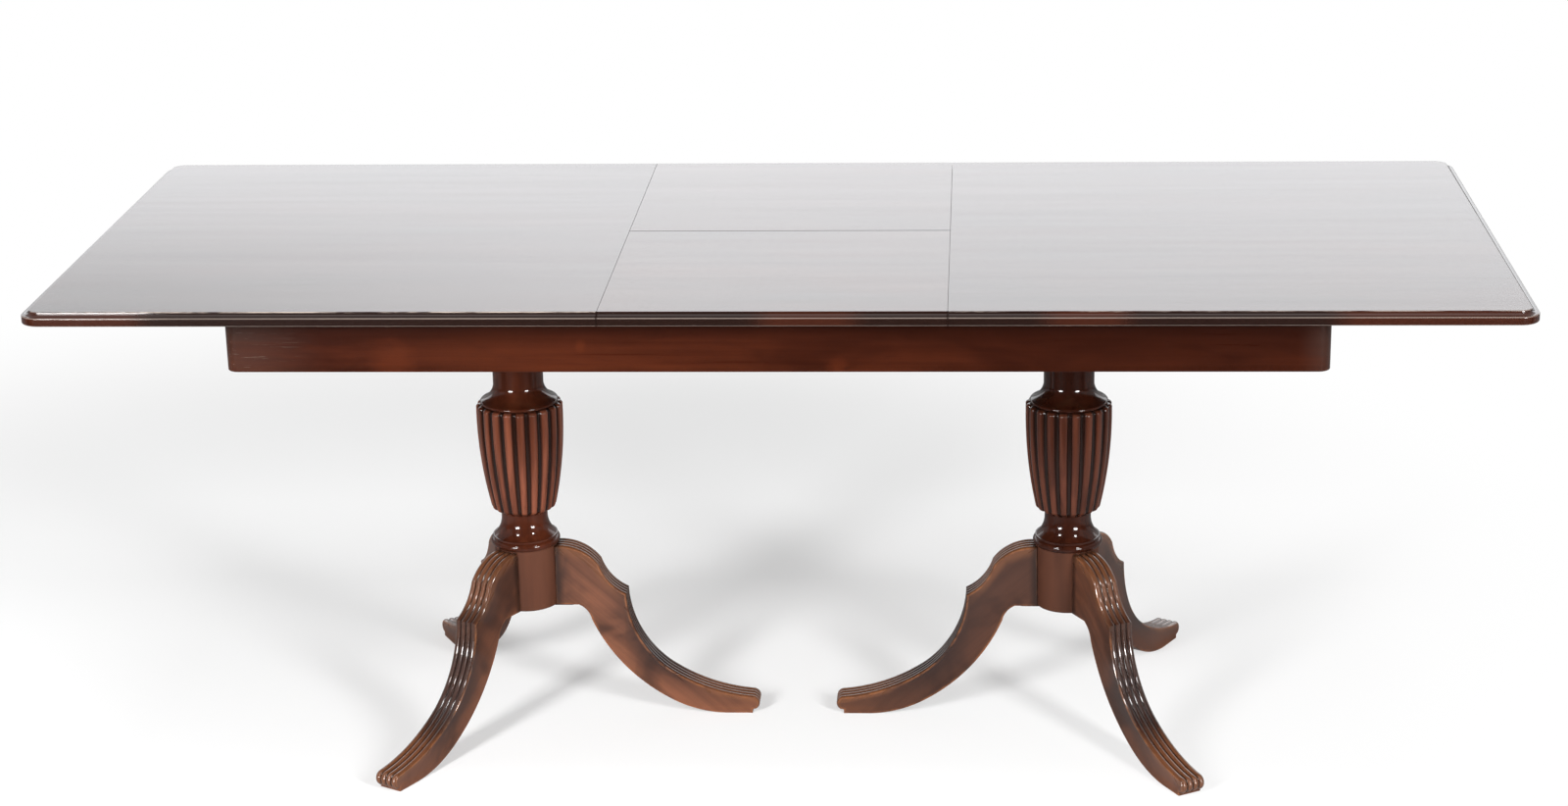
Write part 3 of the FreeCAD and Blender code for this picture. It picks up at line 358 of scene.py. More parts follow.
def arc(start, middle, end, steps):
    """Points of the arc through three points, without its first point."""
    (ax, ay), (bx, by), (cx, cy) = start, middle, end
    turn = 2 * (ax * (by - cy) + bx * (cy - ay) + cx * (ay - by))
    squares = [x * x + y * y for x, y in (start, middle, end)]
    mx = (squares[0] * (by - cy) + squares[1] * (cy - ay) + squares[2] * (ay - by)) / turn
    my = (squares[0] * (cx - bx) + squares[1] * (ax - cx) + squares[2] * (bx - ax)) / turn
    radius = math.dist(start, (mx, my))
    first = math.atan2(ay - my, ax - mx)
    last = math.atan2(cy - my, cx - mx)
    if turn > 0 and last < first:
        last += FULL_TURN
    if turn < 0 and last > first:
        last -= FULL_TURN
    angles = [between((first, last), step / steps) for step in range(1, steps + 1)]
    return [(mx + radius * math.cos(angle), my + radius * math.sin(angle)) for angle in angles]


def curve(start, end, form):
    """Arc from start to end: the shares of its middle point in the box between them, and its steps."""
    shares, steps = form
    return arc(start, within(start, end, shares), end, steps)


def bead(start, radius, end, steps):
    """Round moulding from start to end that swells to a radius halfway up."""
    return arc(start, (radius, (start[1] + end[1]) / 2), end, steps)


# Modelling

# Segments of the eased seams and of the other rounded edges, and the pull of large faces on the shading
EASED_SEGMENTS = 2
ARRIS_SEGMENTS = 3
FLAT_WEIGHT = 100


def activate(piece):
    """Selects one piece alone and makes it the active one."""
    bpy.ops.object.select_all(action="DESELECT")
    piece.select_set(True)
    bpy.context.view_layer.objects.active = piece


def edit_mesh(piece):
    """Opens a piece in edit mode, on vertices, with nothing selected."""
    activate(piece)
    bpy.ops.object.mode_set(mode="EDIT")
    bpy.ops.mesh.select_mode(type="VERT")
    bpy.ops.mesh.select_all(action="DESELECT")


def pick_vertices(piece, wanted):
    """Selects the vertices of the open piece that pass a test."""
    mesh = bmesh.from_edit_mesh(piece.data)
    for vertex in mesh.verts:
        vertex.select_set(wanted(vertex))
    mesh.select_flush_mode()
    bmesh.update_edit_mesh(piece.data)


def pick(piece, wanted):
    """Selects the vertices of the open piece whose place passes a test."""
    pick_vertices(piece, lambda vertex: wanted(vertex.co))


def close_edit():
    """Merges doubles, turns the faces outwards and leaves edit mode."""
    bpy.ops.mesh.select_all(action="SELECT")
    bpy.ops.mesh.remove_doubles(threshold=MERGE_DISTANCE)
    bpy.ops.mesh.normals_make_consistent(inside=False)
    bpy.ops.object.mode_set(mode="OBJECT")


def draw_lines(name, lines, closed):
    """Draws polylines as a curve and makes them a mesh of edges."""
    drawing = bpy.data.curves.new(name, "CURVE")
    drawing.dimensions = "3D"
    for points in lines:
        spline = drawing.splines.new("POLY")
        spline.points.add(len(points) - 1)
        for target, place in zip(spline.points, points):
            target.co = (*place, 1.0)
        spline.use_cyclic_u = closed
    piece = bpy.data.objects.new(name, drawing)
    bpy.context.scene.collection.objects.link(piece)
    activate(piece)
    bpy.ops.object.convert(target="MESH")
    return bpy.context.view_layer.objects.active


def loft(name, loops):
    """Bridges each closed loop to the next and caps both ends."""
    piece = draw_lines(name, loops, closed=True)
    size = len(loops[0])
    starts = range(0, size * len(loops), size)
    edit_mesh(piece)
    for start in starts[:-1]:
        pick_vertices(piece, lambda vertex: start <= vertex.index < start + 2 * size)
        bpy.ops.mesh.bridge_edge_loops()
    for start in (starts[0], starts[-1]):
        pick_vertices(piece, lambda vertex: start <= vertex.index < start + size)
        bpy.ops.mesh.edge_face_add()
    close_edit()
    return piece


def add_block(name, low, high):
    """Adds a cube and brings it to its corners."""
    bpy.ops.object.select_all(action="DESELECT")
    middle = [(a + b) / 2 for a, b in zip(low, high)]
    bpy.ops.mesh.primitive_cube_add(size=1.0, location=middle)
    block = bpy.context.view_layer.objects.active
    block.name = name
    block.scale = [b - a for a, b in zip(low, high)]
    bpy.ops.object.transform_apply(location=True, rotation=True, scale=True)
    return block


def cut_away(piece, blocks):
    """Cuts blocks out of a piece."""
    for block in blocks:
        cutter = piece.modifiers.new("cut", "BOOLEAN")
        cutter.object = block
        cutter.operation = "DIFFERENCE"
        cutter.solver = "EXACT"
        activate(piece)
        bpy.ops.object.modifier_apply(modifier=cutter.name)
        bpy.data.objects.remove(block)


def ease_edges(piece, wanted, radius):
    """Rounds the edges between vertices whose place passes a test."""
    edit_mesh(piece)
    pick(piece, wanted)
    bpy.ops.mesh.bevel(offset=radius, segments=EASED_SEGMENTS, affect="EDGES", clamp_overlap=True)
    close_edit()


def round_off(piece, radius):
    """Rounds every sharp edge of a piece."""
    bevel = piece.modifiers.new("arris", "BEVEL")
    bevel.width = radius
    bevel.segments = ARRIS_SEGMENTS
    bevel.limit_method = "ANGLE"
    bevel.angle_limit = SMOOTH_ANGLE
    activate(piece)
    bpy.ops.object.modifier_apply(modifier=bevel.name)


def smooth(piece, has_flats=False):
    """Shades a piece smoothly up to an angle and keeps large flat faces flat."""
    activate(piece)
    bpy.ops.object.shade_smooth_by_angle(angle=SMOOTH_ANGLE)
    if has_flats:
        weighted = piece.modifiers.new("flats", "WEIGHTED_NORMAL")
        weighted.keep_sharp = True
        weighted.weight = FLAT_WEIGHT
        bpy.ops.object.modifier_apply(modifier=weighted.name)


def copy_of(piece, name, turn=0.0, shift=ORIGIN):
    """Copies a piece with its own mesh, turns the copy about the vertical, moves it and applies both."""
    activate(piece)
    bpy.ops.object.duplicate(linked=False)
    double = bpy.context.view_layer.objects.active
    double.name = name
    double.rotation_euler = (0.0, 0.0, turn)
    double.location = shift
    bpy.ops.object.transform_apply(location=True, rotation=True, scale=True)
    return double


def settle(piece, node, material):
    """Gives a finished piece its material, its body and the node that it stands for."""
    piece.name = f"{node}_dressed"
    piece.data.materials.clear()
    piece.data.materials.append(material)
    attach(piece, BODY_OF[node])
    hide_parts(node)


def places_of(piece):
    return [vertex.co for vertex in piece.data.vertices]


def store(piece, name, values):
    """Stores one number per vertex for the materials."""
    attribute = piece.data.attributes.new(name, "FLOAT", "POINT")
    attribute.data.foreach_set("value", values)


def mark(piece, name, wanted):
    """Stores 1 at the vertices whose place passes a test, and 0 at the others."""
    store(piece, name, [float(wanted(place)) for place in places_of(piece)])


# Finishes

# Noise of each pattern: cells per metre along the three axes, detail, roughness and distortion
PATTERNS = {
    "figure": ((1.6, 9.0, 9.0), 3.0, 0.50, 0.8),
    "streaks": ((3.0, 120.0, 120.0), 5.0, 0.62, 0.3),
    "blotches": ((5.0, 16.0, 16.0), 2.0, 0.50, 0.4),
    "pores": ((90.0, 1900.0, 1900.0), 1.0, 0.50, 0.0),
    "waves": ((7.0, 34.0, 34.0), 2.0, 0.50, 0.0),
    "top chips": ((9.0, 30.0, 120.0), 7.0, 0.75, 0.0),
    "top rubbing": ((1.2, 26.0, 26.0), 4.0, 0.60, 0.2),
    "apron smoke": ((5.0, 22.0, 22.0), 3.0, 0.60, 0.6),
    "ragged spots": ((30.0, 30.0, 60.0), 3.0, 0.60, 0.0),
    "scratches": ((22.0, 300.0, 900.0), 3.0, 0.60, 0.0),
    "reed tones": ((4.0, 42.0, 42.0), 2.0, 0.50, 0.0),
    "leg smoke": ((6.0, 6.0, 6.0), 3.0, 0.60, 1.2),
    "leg chips": ((45.0, 70.0, 70.0), 3.0, 0.60, 0.0),
    "metal rubbing": ((900.0, 60.0, 900.0), 3.0, 0.60, 0.0),
    "dull metal": ((40.0, 40.0, 40.0), 4.0, 0.60, 0.5),
}

# Where each mask starts and is full: values of a pattern or of a stored mask, places in metres,
# or parts of a direction
RANGES = {
    "pores": (0.60, 0.78),
    "front edge": (-0.40, -0.41),
    "top chips": (0.42, 0.60),
    "apron smoke": (0.45, 0.70),
    "apron right": (-0.1, 0.5),
    "apron upper": (0.682, 0.736),
    "apron left end": (-0.60, -0.75),
    "apron right end": (0.70, 0.75),
    "scratches": (0.62, 0.72),
    "faded reeds": (0.36, 0.64),
    "leg root": (0.060, 0.048),
    "knee to shin": (0.110, 0.165),
    "toe to shin": (0.290, 0.220),
    "toe": (0.200, 0.345),
    "leg smoke": (0.46, 0.66),
    "leg chips": (0.34, 0.66),
    "reed crowns": (0.80, 1.0),
    "dull metal": (0.45, 0.75),
    "card left": (-0.6, -2.8),
    "card top": (1.8, 2.5),
    "sky behind": (-0.15, 0.25),
    "sky overhead": (0.75, 0.92),
}

# Sockets of a Mix node for colours
MIX_FACTOR, MIX_FIRST, MIX_SECOND, MIX_RESULT = 0, 6, 7, 2

# Middle value of a pattern
MIDDLE = 0.5


def opaque(tint):
    return (*tint, 1.0)


def grey(value):
    return opaque([value] * 3)


class Wire:
    """One output of a shader node. Arithmetic on it adds Math nodes."""

    def __init__(self, finish, socket):
        self.finish = finish
        self.socket = socket

    def math(self, operation, first, second):
        return self.finish.node("ShaderNodeMath", {"operation": operation}, {0: first, 1: second})

    def __add__(self, other):
        return self.math("ADD", self, other)

    def __sub__(self, other):
        return self.math("SUBTRACT", self, other)

    def __rsub__(self, other):
        return self.math("SUBTRACT", other, self)

    def __mul__(self, other):
        return self.math("MULTIPLY", self, other)

    __radd__ = __add__
    __rmul__ = __mul__


class Finish:
    """A material or the sky in the making."""

    def __init__(self, holder, shader="Principled BSDF"):
        holder.use_nodes = True
        self.holder = holder
        self.tree = holder.node_tree
        self.shader = self.tree.nodes[shader]

    def node(self, kind, settings, inputs, output=0):
        """Adds a node: its settings first, then the values or wires of its sockets."""
        node = self.tree.nodes.new(kind)
        for name, value in settings.items():
            if name == "stops":
                self.set_stops(node.color_ramp.elements, value)
            else:
                setattr(node, name, value)
        self.feed(node, inputs)
        return Wire(self, node.outputs[output])

    def set_stops(self, elements, stops):
        """Adds the inner stops of a new ramp, which has two, and sets them all."""
        for place, tint in stops[1:-1]:
            elements.new(place)
        for element, (place, tint) in zip(elements, stops):
            element.position = place
            element.color = opaque(tint)

    def feed(self, node, inputs):
        """Sets sockets of a node to values or wires."""
        for name, value in inputs.items():
            if isinstance(value, Wire):
                self.tree.links.new(value.socket, node.inputs[name])
            else:
                node.inputs[name].default_value = value

    def object_place(self):
        return self.node("ShaderNodeTexCoord", {}, {}, "Object")

    def attribute(self, name, output="Fac"):
        return self.node("ShaderNodeAttribute", {"attribute_name": name}, {}, output)

    def ray(self, kind):
        """1 for one kind of ray, 0 for the others."""
        return self.node("ShaderNodeLightPath", {}, {}, f"Is {kind} Ray")

    def axis(self, vector, name):
        return self.node("ShaderNodeSeparateXYZ", {}, {0: vector}, name)

    def distance(self, vector, place):
        return self.node("ShaderNodeVectorMath", {"operation": "DISTANCE"}, {0: vector, 1: place}, "Value")

    def noise(self, vector, pattern):
        """Noise of a named pattern."""
        stretch, detail, roughness, distortion = PATTERNS[pattern]
        scaled = self.node("ShaderNodeVectorMath", {"operation": "MULTIPLY"}, {0: vector, 1: stretch})
        sockets = {"Vector": scaled, "Scale": 1.0, "Detail": detail}
        sockets.update({"Roughness": roughness, "Distortion": distortion})
        return self.node("ShaderNodeTexNoise", {}, sockets)

    def step(self, value, low, high):
        """Smooth step of a value from 0 at low to 1 at high."""
        sockets = {"Value": value, "From Min": low, "From Max": high}
        return self.node("ShaderNodeMapRange", {"interpolation_type": "SMOOTHSTEP"}, sockets)

    def mask(self, value, name):
        """Smooth step of a value over a named range."""
        return self.step(value, *RANGES[name])

    def mix(self, factor, first, second):
        """Mixes two colours."""
        sockets = {MIX_FACTOR: factor, MIX_FIRST: first, MIX_SECOND: second}
        return self.node("ShaderNodeMix", {"data_type": "RGBA"}, sockets, MIX_RESULT)

    def bump(self, height, strength, distance):
        return self.node("ShaderNodeBump", {}, {"Height": height, "Strength": strength, "Distance": distance})


# How the grain axis of a piece turns onto X
GRAIN_TURNS = {"X": ORIGIN, "Y": (0.0, 0.0, -QUARTER_TURN), "Z": (0.0, QUARTER_TURN, 0.0)}

# What the patterns of the grain add to its tone, and the tone's stops with their share of the light colour
FIGURE_WEIGHT, STREAK_WEIGHT, BLOTCH_WEIGHT, TONE_DROP = 0.55, 0.35, 0.30, 0.12
GRAIN_STOPS = ((0.28, 0.0), (0.47, 0.42), (0.62, 0.78), (0.80, 1.0))

# Pores: share of the dark colour in theirs, their depth in the bump and what they add to the roughness
PORE_TINT, PORE_DEPTH, PORE_ROUGHNESS = 0.5, 0.10, 0.12

# What the streaks add to the roughness, and the strength and distance of the bump
STREAK_ROUGHNESS = 0.16
WOOD_BUMP = (0.35, 0.0006)
COAT_IOR = 1.5


class Wood(Finish):
    """Polished wood: figure, streaks and pores along a grain axis, under a clear coat."""

    def __init__(self, name, dark, light, grain="X", stored_place=None, offset=ORIGIN):
        super().__init__(bpy.data.materials.new(name))
        self.colours = bpy.context.scene.table_colours
        self.wear = bpy.context.scene.table_wear
        self.here = self.attribute(stored_place, "Vector") if stored_place else self.object_place()
        sockets = {"Vector": self.here, "Location": offset, "Rotation": GRAIN_TURNS[grain]}
        self.place = self.node("ShaderNodeMapping", {}, sockets)
        self.figure, self.streaks, self.blotches = map(self.pattern, ("figure", "streaks", "blotches"))
        self.pores = self.mask(self.pattern("pores"), "pores")
        tone = self.figure * FIGURE_WEIGHT + self.streaks * STREAK_WEIGHT + self.blotches * BLOTCH_WEIGHT
        stops = [(place, mixed(dark, light, share)) for place, share in GRAIN_STOPS]
        self.tint = self.node("ShaderNodeValToRGB", {"stops": stops}, {"Fac": tone - TONE_DROP})
        self.layer(self.pores * self.wear.pores, mixed(BLACK, dark, PORE_TINT))

    def pattern(self, name):
        """A named pattern along the grain."""
        return self.noise(self.place, name)

    def layer(self, share, tint):
        """Lays a colour over the wood."""
        self.tint = self.mix(share, self.tint, opaque(tint))

    def polish(self, roughness, coat, coat_roughness, waviness, gloss=0.05):
        """Connects the finish: a base of some roughness under a clear coat over slightly wavy wood."""
        height = self.pattern("waves") * waviness - self.pores * PORE_DEPTH
        sockets = {
            "Base Color": self.tint,
            "Roughness": roughness + (self.streaks - MIDDLE) * STREAK_ROUGHNESS + self.pores * PORE_ROUGHNESS,
            "Normal": self.bump(height, *WOOD_BUMP),
            "Specular IOR Level": gloss,
            "Coat Weight": coat,
            "Coat Roughness": coat_roughness,
            "Coat IOR": COAT_IOR,
        }
        self.feed(self.shader, sockets)
        return self.holder


# Where each piece of the top lies in the wood that it is cut from, and how far its arris is chipped
TOP_WOODS = {
    "top_right": ((0.13, 0.31, 0.0), 0.35),
    "top_left": ((1.71, 0.07, 0.0), 0.80),
    "leaf_rear": ((0.62, 0.83, 0.0), 0.0),
    "leaf_front": ((1.15, 0.42, 0.0), 0.0),
}

# Warm stretches along the nose of the tops, from and to, and how far their ends fade outwards and inwards
EDGE_STRETCHES = ((-1.040, -0.860), (-0.010, 0.106), (0.373, 0.467), (0.760, 1.040))
FADE_OUT, FADE_IN = 0.03, 0.02

# Coat of the tops at the low and the high end of their rubbing
TOP_COAT = (0.94, 1.06)


def top_finish(node):
    """Flat polished mahogany of the tops, with faint rubbed streaks in its gloss, a chipped arris, painted
    shade on the moulded edge and painted highlight lines on the nose.
    """
    colours = bpy.context.scene.table_colours
    offset, chipped = TOP_WOODS[node]
    light = colours.leaf_light if node.startswith("leaf") else colours.top_light
    wood = Wood(f"{node}_polish", colours.top_dark, light, offset=offset)
    edge, line, worn, seam = (wood.attribute(name) for name in ("edge", "line", "worn", "seam"))
    # Painted shade on the moulded edge and the underside
    wood.layer(edge * wood.wear.edge_painted_shade, colours.grime)
    along = wood.axis(wood.here, "X")
    warmth = edge * wood.mask(wood.axis(wood.here, "Y"), "front edge")
    warmth = warmth * between(wood.wear.nose_warmth, wood.streaks)
    for start, end in EDGE_STRETCHES:
        after_start = wood.step(along, start - FADE_OUT, start + FADE_IN)
        before_end = wood.step(along, end + FADE_OUT, end - FADE_IN)
        wood.layer(warmth * after_start * before_end, colours.warm)
    # Painted highlight lines on the nose's roundings
    wood.layer(line * between(wood.wear.nose_highlight, wood.blotches), colours.scuff_and_highlight)
    wood.layer(worn * wood.mask(wood.pattern("top chips"), "top chips") * chipped, colours.scuff_and_highlight)
    wood.layer(seam * wood.wear.seam_grime, colours.grime)
    coat = between(TOP_COAT, wood.pattern("top rubbing")) * (1.0 - seam * wood.wear.seam_grime)
    return wood.polish(roughness=0.34, coat=coat, coat_roughness=0.045, waviness=0.25)


# Where the apron lies in the wood that it is cut from
APRON_OFFSET = (0.37, 0.11, 0.0)

# Warm spots on the front of the apron: middle and radius, and shares of the radius at the rim and the core
APRON_SPOTS = (
    ((-0.520, -0.387, 0.680), 0.042),
    ((-0.262, -0.387, 0.703), 0.011),
    ((0.085, -0.387, 0.672), 0.020),
)
SPOT_RIM, SPOT_CORE = 1.5, 0.7


def apron_finish(name, grain):
    """Dark apron with warm spots, darker to the right, with painted shade towards the top and a painted sheen
    at both ends, and scratched at its left end.
    """
    colours = bpy.context.scene.table_colours
    wood = Wood(name, colours.apron_dark, colours.apron_light, grain=grain, offset=APRON_OFFSET)
    along, height = wood.axis(wood.here, "X"), wood.axis(wood.here, "Z")
    smoke = wood.pattern("apron smoke")
    wood.layer(wood.mask(smoke, "apron smoke") * wood.wear.apron_smoke, colours.apron_dark)
    wood.layer(wood.mask(along, "apron right") * wood.wear.apron_right, colours.apron_dark)
    # Painted shade towards the top, under the top's overhang
    wood.layer(wood.mask(height, "apron upper") * wood.wear.apron_upper, colours.apron_dark)
    ragged = wood.noise(wood.here, "ragged spots")
    for middle, radius in APRON_SPOTS:
        away = wood.distance(wood.here, middle) + ragged * radius
        spot = wood.step(away, SPOT_RIM * radius, SPOT_CORE * radius)
        wood.layer(spot * wood.wear.apron_spots, colours.warm)
    left, right = wood.mask(along, "apron left end"), wood.mask(along, "apron right end")
    # Painted sheen at both rounded ends
    wood.layer((left + right) * smoke * wood.wear.apron_end_sheen, colours.scuff_and_highlight)
    scratches = wood.mask(wood.noise(wood.here, "scratches"), "scratches")
    wood.layer(scratches * left * wood.wear.apron_scratches, colours.scuff_and_highlight)
    return wood.polish(roughness=0.30, coat=0.32, coat_roughness=0.10, waviness=0.55)


# What the tones and the streaks add to the fading of the reeds, and the patterns to the colour of the block
REED_TONES, REED_STREAKS = 0.7, 0.3
BLOCK_FIGURE, BLOCK_BLOTCHES, BLOCK_DROP = 0.60, 0.80, 0.37

# Roughness and coat of the turned wood and of the plain block
COLUMN_ROUGHNESS = (0.30, 0.42)
COLUMN_COAT = (0.70, 0.15)


def column_finish():
    """Turned and reeded mahogany, with dark polish in the grooves and painted shade that darkens the right
    column.
    """
    colours = bpy.context.scene.table_colours
    wood = Wood("column_mahogany_polish", colours.column_dark, colours.column_light, grain="Z")
    crest, groove, plain, shade = (wood.attribute(name) for name in ("crest", "groove", "plain", "shade"))
    tones = wood.pattern("reed tones") * REED_TONES + wood.streaks * REED_STREAKS
    faded = wood.mask(tones, "faded reeds")
    wood.layer(crest * between(wood.wear.reed_fading, faded), colours.crest)
    block = wood.figure * BLOCK_FIGURE + wood.blotches * BLOCK_BLOTCHES - BLOCK_DROP
    wood.layer(plain * block, colours.block)
    wood.layer(plain * wood.wear.block_bloom, colours.scuff_and_highlight)
    # Painted shade that darkens a whole column, less on its block
    wood.layer(shade * between(wood.wear.column_painted_shade, plain), colours.column_dark)
    wood.layer(groove * wood.wear.urn_grime, colours.grime)
    roughness, coat = between(COLUMN_ROUGHNESS, plain), between(COLUMN_COAT, plain)
    return wood.polish(roughness, coat, coat_roughness=0.085, waviness=0.45, gloss=0.02)


# Roughness and coat of the legs' flat sides and of their reeds
LEG_ROUGHNESS = (0.40, 0.28)
LEG_COAT = (0.14, 0.84)


def leg_finish():
    """Satin mahogany of the legs, with painted shade on the legs in less light, worn arrises partly painted
    as highlights, and glossy reeds over dark grooves.
    """
    colours = bpy.context.scene.table_colours
    wood = Wood("leg_mahogany_polish", colours.leg_dark, colours.leg_light, stored_place="leg_place")
    names = ("reeded", "groove", "worn", "shade", "reach")
    reeded, groove, worn, shade, reach = (wood.attribute(name) for name in names)
    shin = wood.mask(reach, "knee to shin") * wood.mask(reach, "toe to shin")
    smoke = wood.mask(wood.pattern("leg smoke"), "leg smoke")
    wood.layer(smoke * wood.wear.leg_smoke, colours.leg_smoke)
    # Painted shade on the legs that stand in less light
    wood.layer(shade, colours.leg_smoke)
    wood.layer(wood.mask(reach, "toe") * wood.wear.toe_wear, colours.toe)
    wood.layer(reeded * between(wood.wear.reed_shade, shin), colours.leg_smoke)
    crowns = wood.mask(reeded, "reed crowns")
    wood.layer(crowns * (1.0 - shin) * wood.wear.crown_wear, colours.crown)
    chips = wood.mask(wood.pattern("leg chips"), "leg chips")
    # Worn arrises, partly a painted highlight
    wood.layer(worn * chips * wood.wear.arris_wear_and_highlight, colours.worn)
    wood.layer(groove * wood.wear.leg_grime, colours.grime)
    wood.layer(wood.mask(reach, "leg root") * wood.wear.root_grime, colours.grime)
    roughness, coat = between(LEG_ROUGHNESS, reeded), between(LEG_COAT, reeded)
    return wood.polish(roughness, coat, coat_roughness=0.06, waviness=0.15, gloss=0.30)


# Where the frame's timber lies in the wood that it is cut from
BEECH_OFFSET = (0.2, 0.4, 0.1)


def beech_finish(name, grain):
    """Plain frame wood under the tops, planed and not polished."""
    colours = bpy.context.scene.table_colours
    wood = Wood(name, colours.beech_dark, colours.beech_light, grain=grain, offset=BEECH_OFFSET)
    return wood.polish(roughness=0.62, coat=0.0, coat_roughness=0.3, waviness=0.5)


# Share of a metal's colour where it is dull, what the patterns add to its roughness, and its bump
DULL_TINT = 0.62
RUBBING_ROUGHNESS, DULL_ROUGHNESS = 0.25, 0.2
METAL_BUMP = (0.15, 0.0003)


def metal_finish(name, tint, metallic, roughness):
    """Plated, lacquered or solid metal with fine rubbing and a few dull patches."""
    metal = Finish(bpy.data.materials.new(name))
    here = metal.object_place()
    rubbing, patches = metal.noise(here, "metal rubbing"), metal.noise(here, "dull metal")
    dull = mixed(BLACK, tint, DULL_TINT)
    rough = roughness + (rubbing - MIDDLE) * RUBBING_ROUGHNESS + (patches - MIDDLE) * DULL_ROUGHNESS
    sockets = {
        "Base Color": metal.mix(metal.mask(patches, "dull metal"), opaque(tint), opaque(dull)),
        "Metallic": metallic,
        "Roughness": rough,
        "Normal": metal.bump(rubbing, *METAL_BUMP),
    }
    metal.feed(metal.shader, sockets)
    return metal.holder


# Tops, leaf and apron

# Steps of the moulded edge's roundings, of the table's corners and of the apron's corners
SURFACE_STEPS, COVE_STEPS, NOSE_STEPS, UNDER_STEPS = 4, 9, 4, 5
CORNER_STEPS = 12
APRON_SEGMENTS = 10

# Bands of the roundings that hold chips or painted highlight lines, as shares of their radius
ARRIS_BAND = (0.05, 1.05)
NOSE_BAND = (0.05, 0.75)
FOOT_BAND = (0.05, 0.55)

# Share of the seams' rounding that holds dirt
SEAM_SHARE = 0.9


def edge_profile(sizes, thickness):
    """Moulded edge from the surface down: inset from the outer edge and drop from the surface."""
    inset, arris, quirk = sizes.surface_inset, sizes.arris_radius, sizes.quirk_depth
    cove, hollow, nose, under = sizes.cove_width, sizes.cove_drop, sizes.nose_radius, sizes.under_radius
    ledge = quirk + hollow
    points = [(inset + arris * (1 - math.sin(a)), arris * (1 - math.cos(a))) for a in sweep(SURFACE_STEPS)]
    points += [(inset - cove * (1 - math.cos(a)), quirk + hollow * math.sin(a)) for a in sweep(COVE_STEPS)]
    points += [(nose * (1 - math.sin(a)), ledge + nose * (1 - math.cos(a))) for a in sweep(NOSE_STEPS)]
    foot = [(under * (1 - math.cos(a)), thickness - under * (1 - math.sin(a))) for a in sweep(UNDER_STEPS)]
    return points + foot


def on_nose_highlight(sizes, drop):
    """Whether a drop is on the rounding at the top of the nose or on the one at its foot, where painted
    highlight lines go.
    """
    top = (drop - sizes.quirk_depth - sizes.cove_drop) / sizes.nose_radius
    foot = (TOP_HIGH.z - TOP_LOW.z - drop) / sizes.under_radius
    return inside(top, NOSE_BAND) or inside(foot, FOOT_BAND)


def top_loop(sizes, inset, drop):
    """Plan of the right top at one line of its moulding."""
    half, radius = TOP_HIGH.y - inset, sizes.corner_radius - inset
    along, across = TOP_HIGH.x - sizes.corner_radius, TOP_HIGH.y - sizes.corner_radius
    turns = sweep(CORNER_STEPS)
    front = [(along + radius * math.sin(a), -across - radius * math.cos(a)) for a in turns]
    rear = [(along + radius * math.cos(a), across + radius * math.sin(a)) for a in turns]
    seam = TOP_LOW.x + sizes.seam_margin
    plan = [(TOP_LOW.x, -half), (seam, -half)] + front + rear + [(seam, half), (TOP_LOW.x, half)]
    return [(x, y, TOP_HIGH.z - drop) for x, y in plan]


class TABLE_OT_tops(bpy.types.Operator):
    """Models the two sliding tops with their moulded edge"""
    bl_idname = "table.tops"
    bl_label = "Sliding tops"

    def execute(self, context):
        sizes = context.scene.table_top_sizes
        profile = edge_profile(sizes, TOP_HIGH.z - TOP_LOW.z)
        right = loft("top", [top_loop(sizes, inset, drop) for inset, drop in profile])
        seam_edge = lambda place: near(place.x, TOP_LOW.x) and near(place.z, TOP_HIGH.z)
        ease_edges(right, seam_edge, sizes.seam_arris)
        smooth(right, has_flats=True)
        mark(right, "worn", lambda place: self.on_arris(place, sizes))
        mark(right, "seam", lambda place: self.in_seam(place, sizes))
        # Moulded edge and underside, darkened by the finish as painted shade
        mark(right, "edge", lambda place: place.z < TOP_HIGH.z - sizes.arris_radius / 2)
        # Roundings of the nose that get painted highlight lines
        mark(right, "line", lambda place: on_nose_highlight(sizes, TOP_HIGH.z - place.z))
        left = copy_of(right, "top_left", turn=math.pi)
        settle(right, "top_right", top_finish("top_right"))
        settle(left, "top_left", top_finish("top_left"))
        return {"FINISHED"}

    def on_arris(self, place, sizes):
        """Whether a place is on the rounding at the edge of the polished surface."""
        drop = (TOP_HIGH.z - place.z) / sizes.arris_radius
        return inside(drop, ARRIS_BAND) and place.x > TOP_LOW.x + sizes.arris_radius

    def in_seam(self, place, sizes):
        """Whether a place is on the edge at the seam."""
        near_seam = place.x - TOP_LOW.x < sizes.seam_arris * SEAM_SHARE
        return near_seam and TOP_LOW.z + SLACK < place.z < TOP_HIGH.z - SLACK


